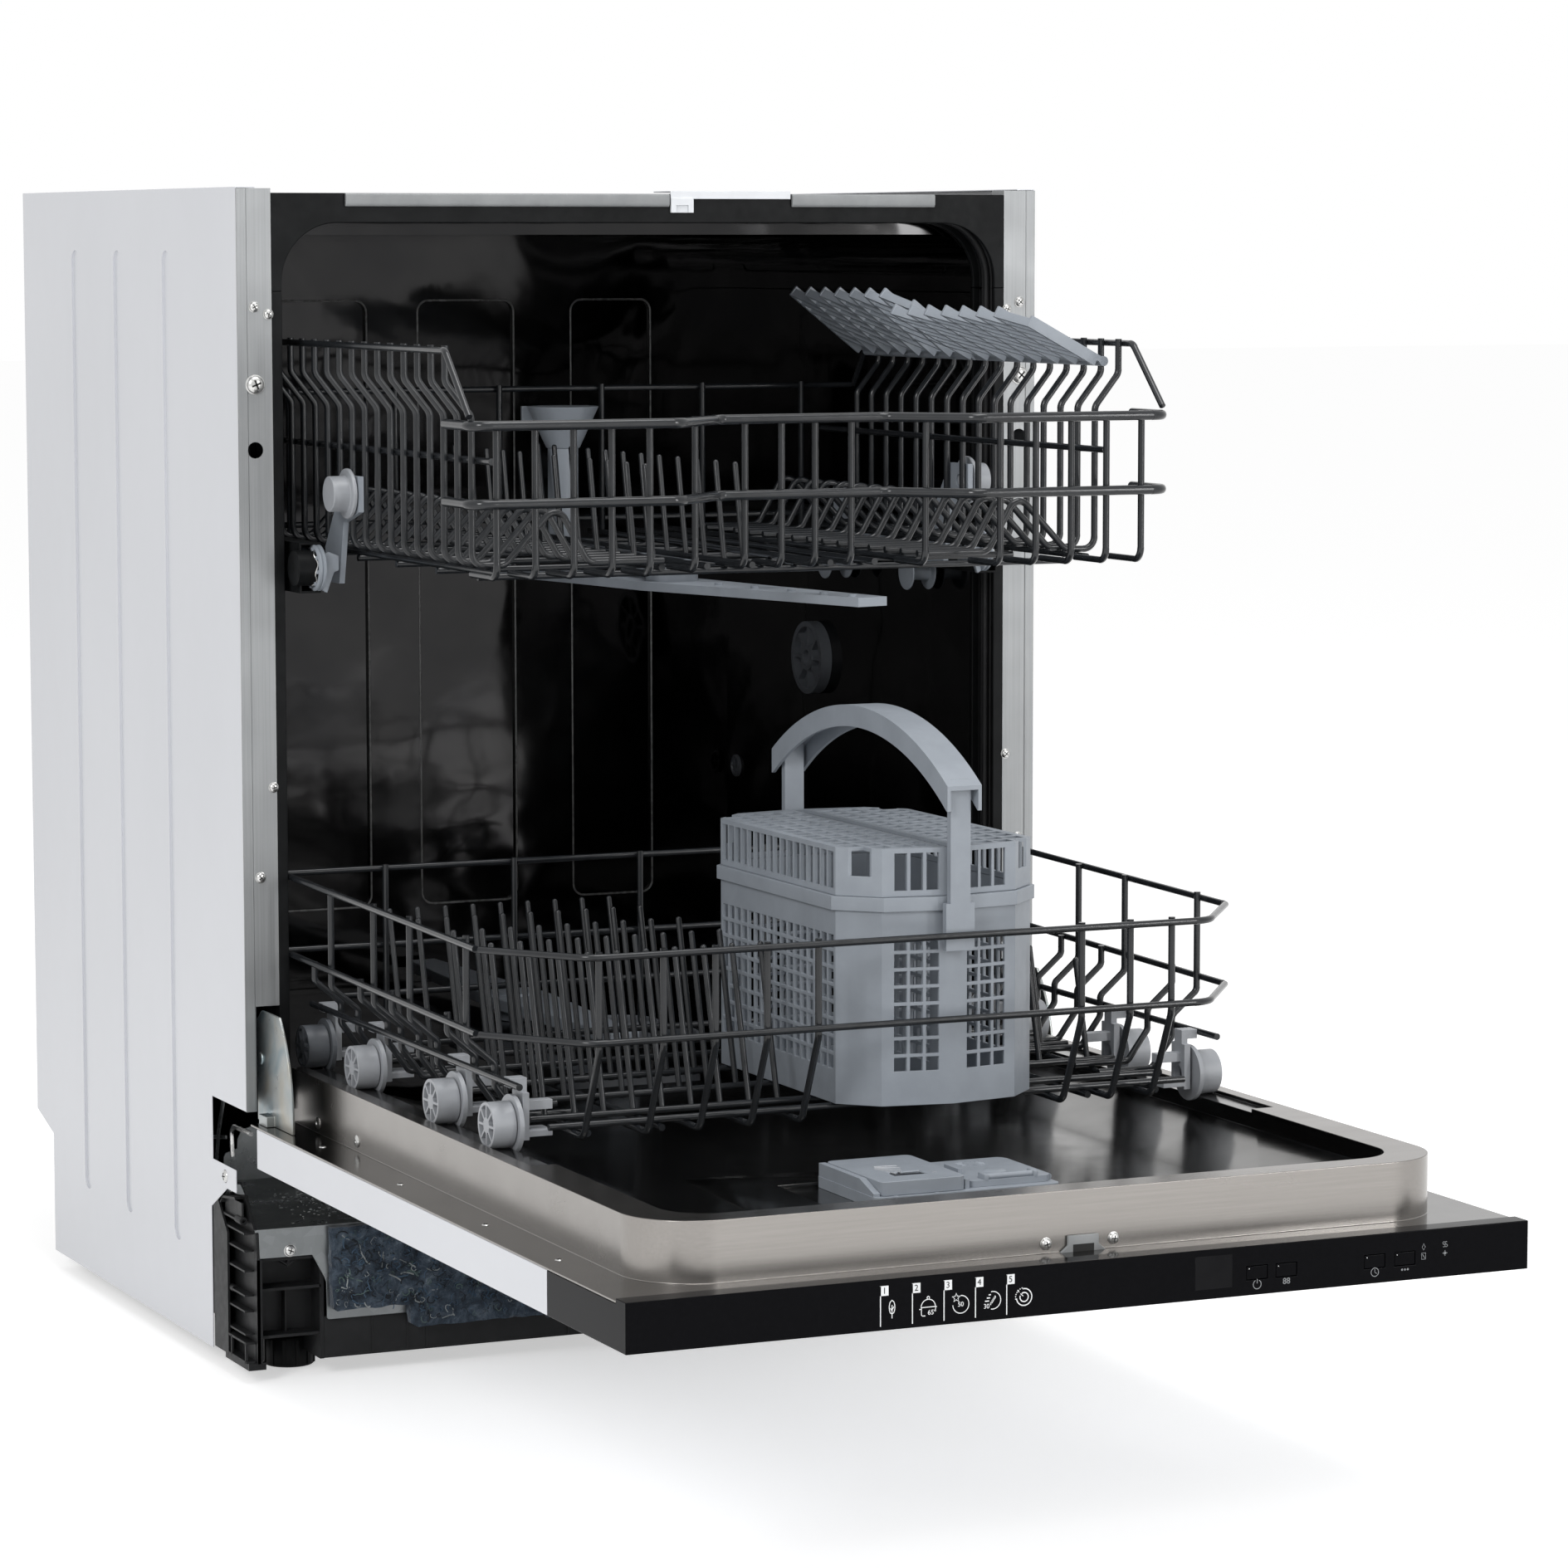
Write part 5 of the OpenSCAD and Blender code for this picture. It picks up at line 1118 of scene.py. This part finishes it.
def make_floor():
    """Pale floor that keeps the object's shadow."""
    finish = Finish("pale_floor")
    finish.shader.inputs["Base Color"].default_value = (0.92, 0.92, 0.92, 1)
    finish.shader.inputs["Roughness"].default_value = 0.9
    finish.shader.inputs["Specular IOR Level"].default_value = 0
    glow = finish.add("ShaderNodeEmission")
    finish.link(white_when_seen(finish.tree, 0.0, FLOOR_GLOW), glow.inputs["Strength"])
    both = finish.add("ShaderNodeAddShader")
    finish.link(finish.shader.outputs["BSDF"], both.inputs[0])
    finish.link(glow.outputs["Emission"], both.inputs[1])
    finish.link(both.outputs["Shader"], finish.tree.nodes["Material Output"].inputs["Surface"])
    shape = bmesh.new()
    bmesh.ops.create_grid(shape, x_segments=1, y_segments=1, size=FLOOR_HALF,
                          matrix=Matrix.Translation((0, 0, FLOOR_Z)))
    mesh = baked("floor", shape)
    mesh.materials.append(finish.material)
    new_object("floor", mesh)


def make_world():
    """White room that lights the object only half as strongly as it looks."""
    world = bpy.data.worlds.new("studio")
    bpy.context.scene.world = world
    world.use_nodes = True
    back = world.node_tree.nodes["Background"]
    back.inputs["Color"].default_value = (1, 1, 1, 1)
    world.node_tree.links.new(white_when_seen(world.node_tree, 0.5, 1.0),
                              back.inputs["Strength"])


def area_lamp(name, place, target, size, power):
    lamp = bpy.data.lights.new(name, "AREA")
    lamp.shape = "RECTANGLE"
    lamp.size, lamp.size_y = size
    lamp.energy = power
    holder = new_object(name, lamp)
    holder.location = place
    aim = (Vector(target) - Vector(place)).normalized()
    holder.rotation_euler = aim.to_track_quat("-Z", "Y").to_euler()


make_floor()
make_world()
# name, place, aim, width and height in metres, watts
for lamp in (("key_left", (-2.9, -2.4, 2.3), (0, 0, 0.4), (1.0, 1.3), 48),
             ("fill_right", (2.0, -3.3, 1.3), (0, -0.2, 0.4), (0.3, 2.2), 26),
             ("fill_strip", (0.9, -3.8, 0.9), (0, -0.2, 0.4), (0.14, 1.6), 9),
             ("top", (0.2, -0.7, 3.0), (0, -0.1, 0.3), (1.6, 1.2), 34)):
    area_lamp(*lamp)

FRAME_SIDE = 1889
FOCAL = 6245.6
SENSOR = 36


def make_camera():
    """Long lens, low and to the left of the cabinet, turned by three angles in radians."""
    turn, tip, roll = 0.42403, -0.10437, -0.00111
    place = Vector((-1.3978, -3.3220 + FRONT_PLANE, 0.7785))
    ahead = Vector((math.sin(turn) * math.cos(tip), math.cos(turn) * math.cos(tip), math.sin(tip)))
    right = Vector((math.cos(turn), -math.sin(turn), 0))
    up = right.cross(ahead)
    right, up = (right * math.cos(roll) + up * math.sin(roll),
                 up * math.cos(roll) - right * math.sin(roll))
    data = bpy.data.cameras.new("view")
    data.sensor_width = SENSOR
    data.lens = FOCAL / FRAME_SIDE * SENSOR
    data.clip_end = 100
    camera = new_object("view", data)
    basis = Matrix((right, up, -ahead)).transposed().to_4x4()
    camera.matrix_world = Matrix.Translation(place) @ basis
    bpy.context.scene.camera = camera


make_camera()
bpy.context.scene.view_settings.view_transform = "Standard"
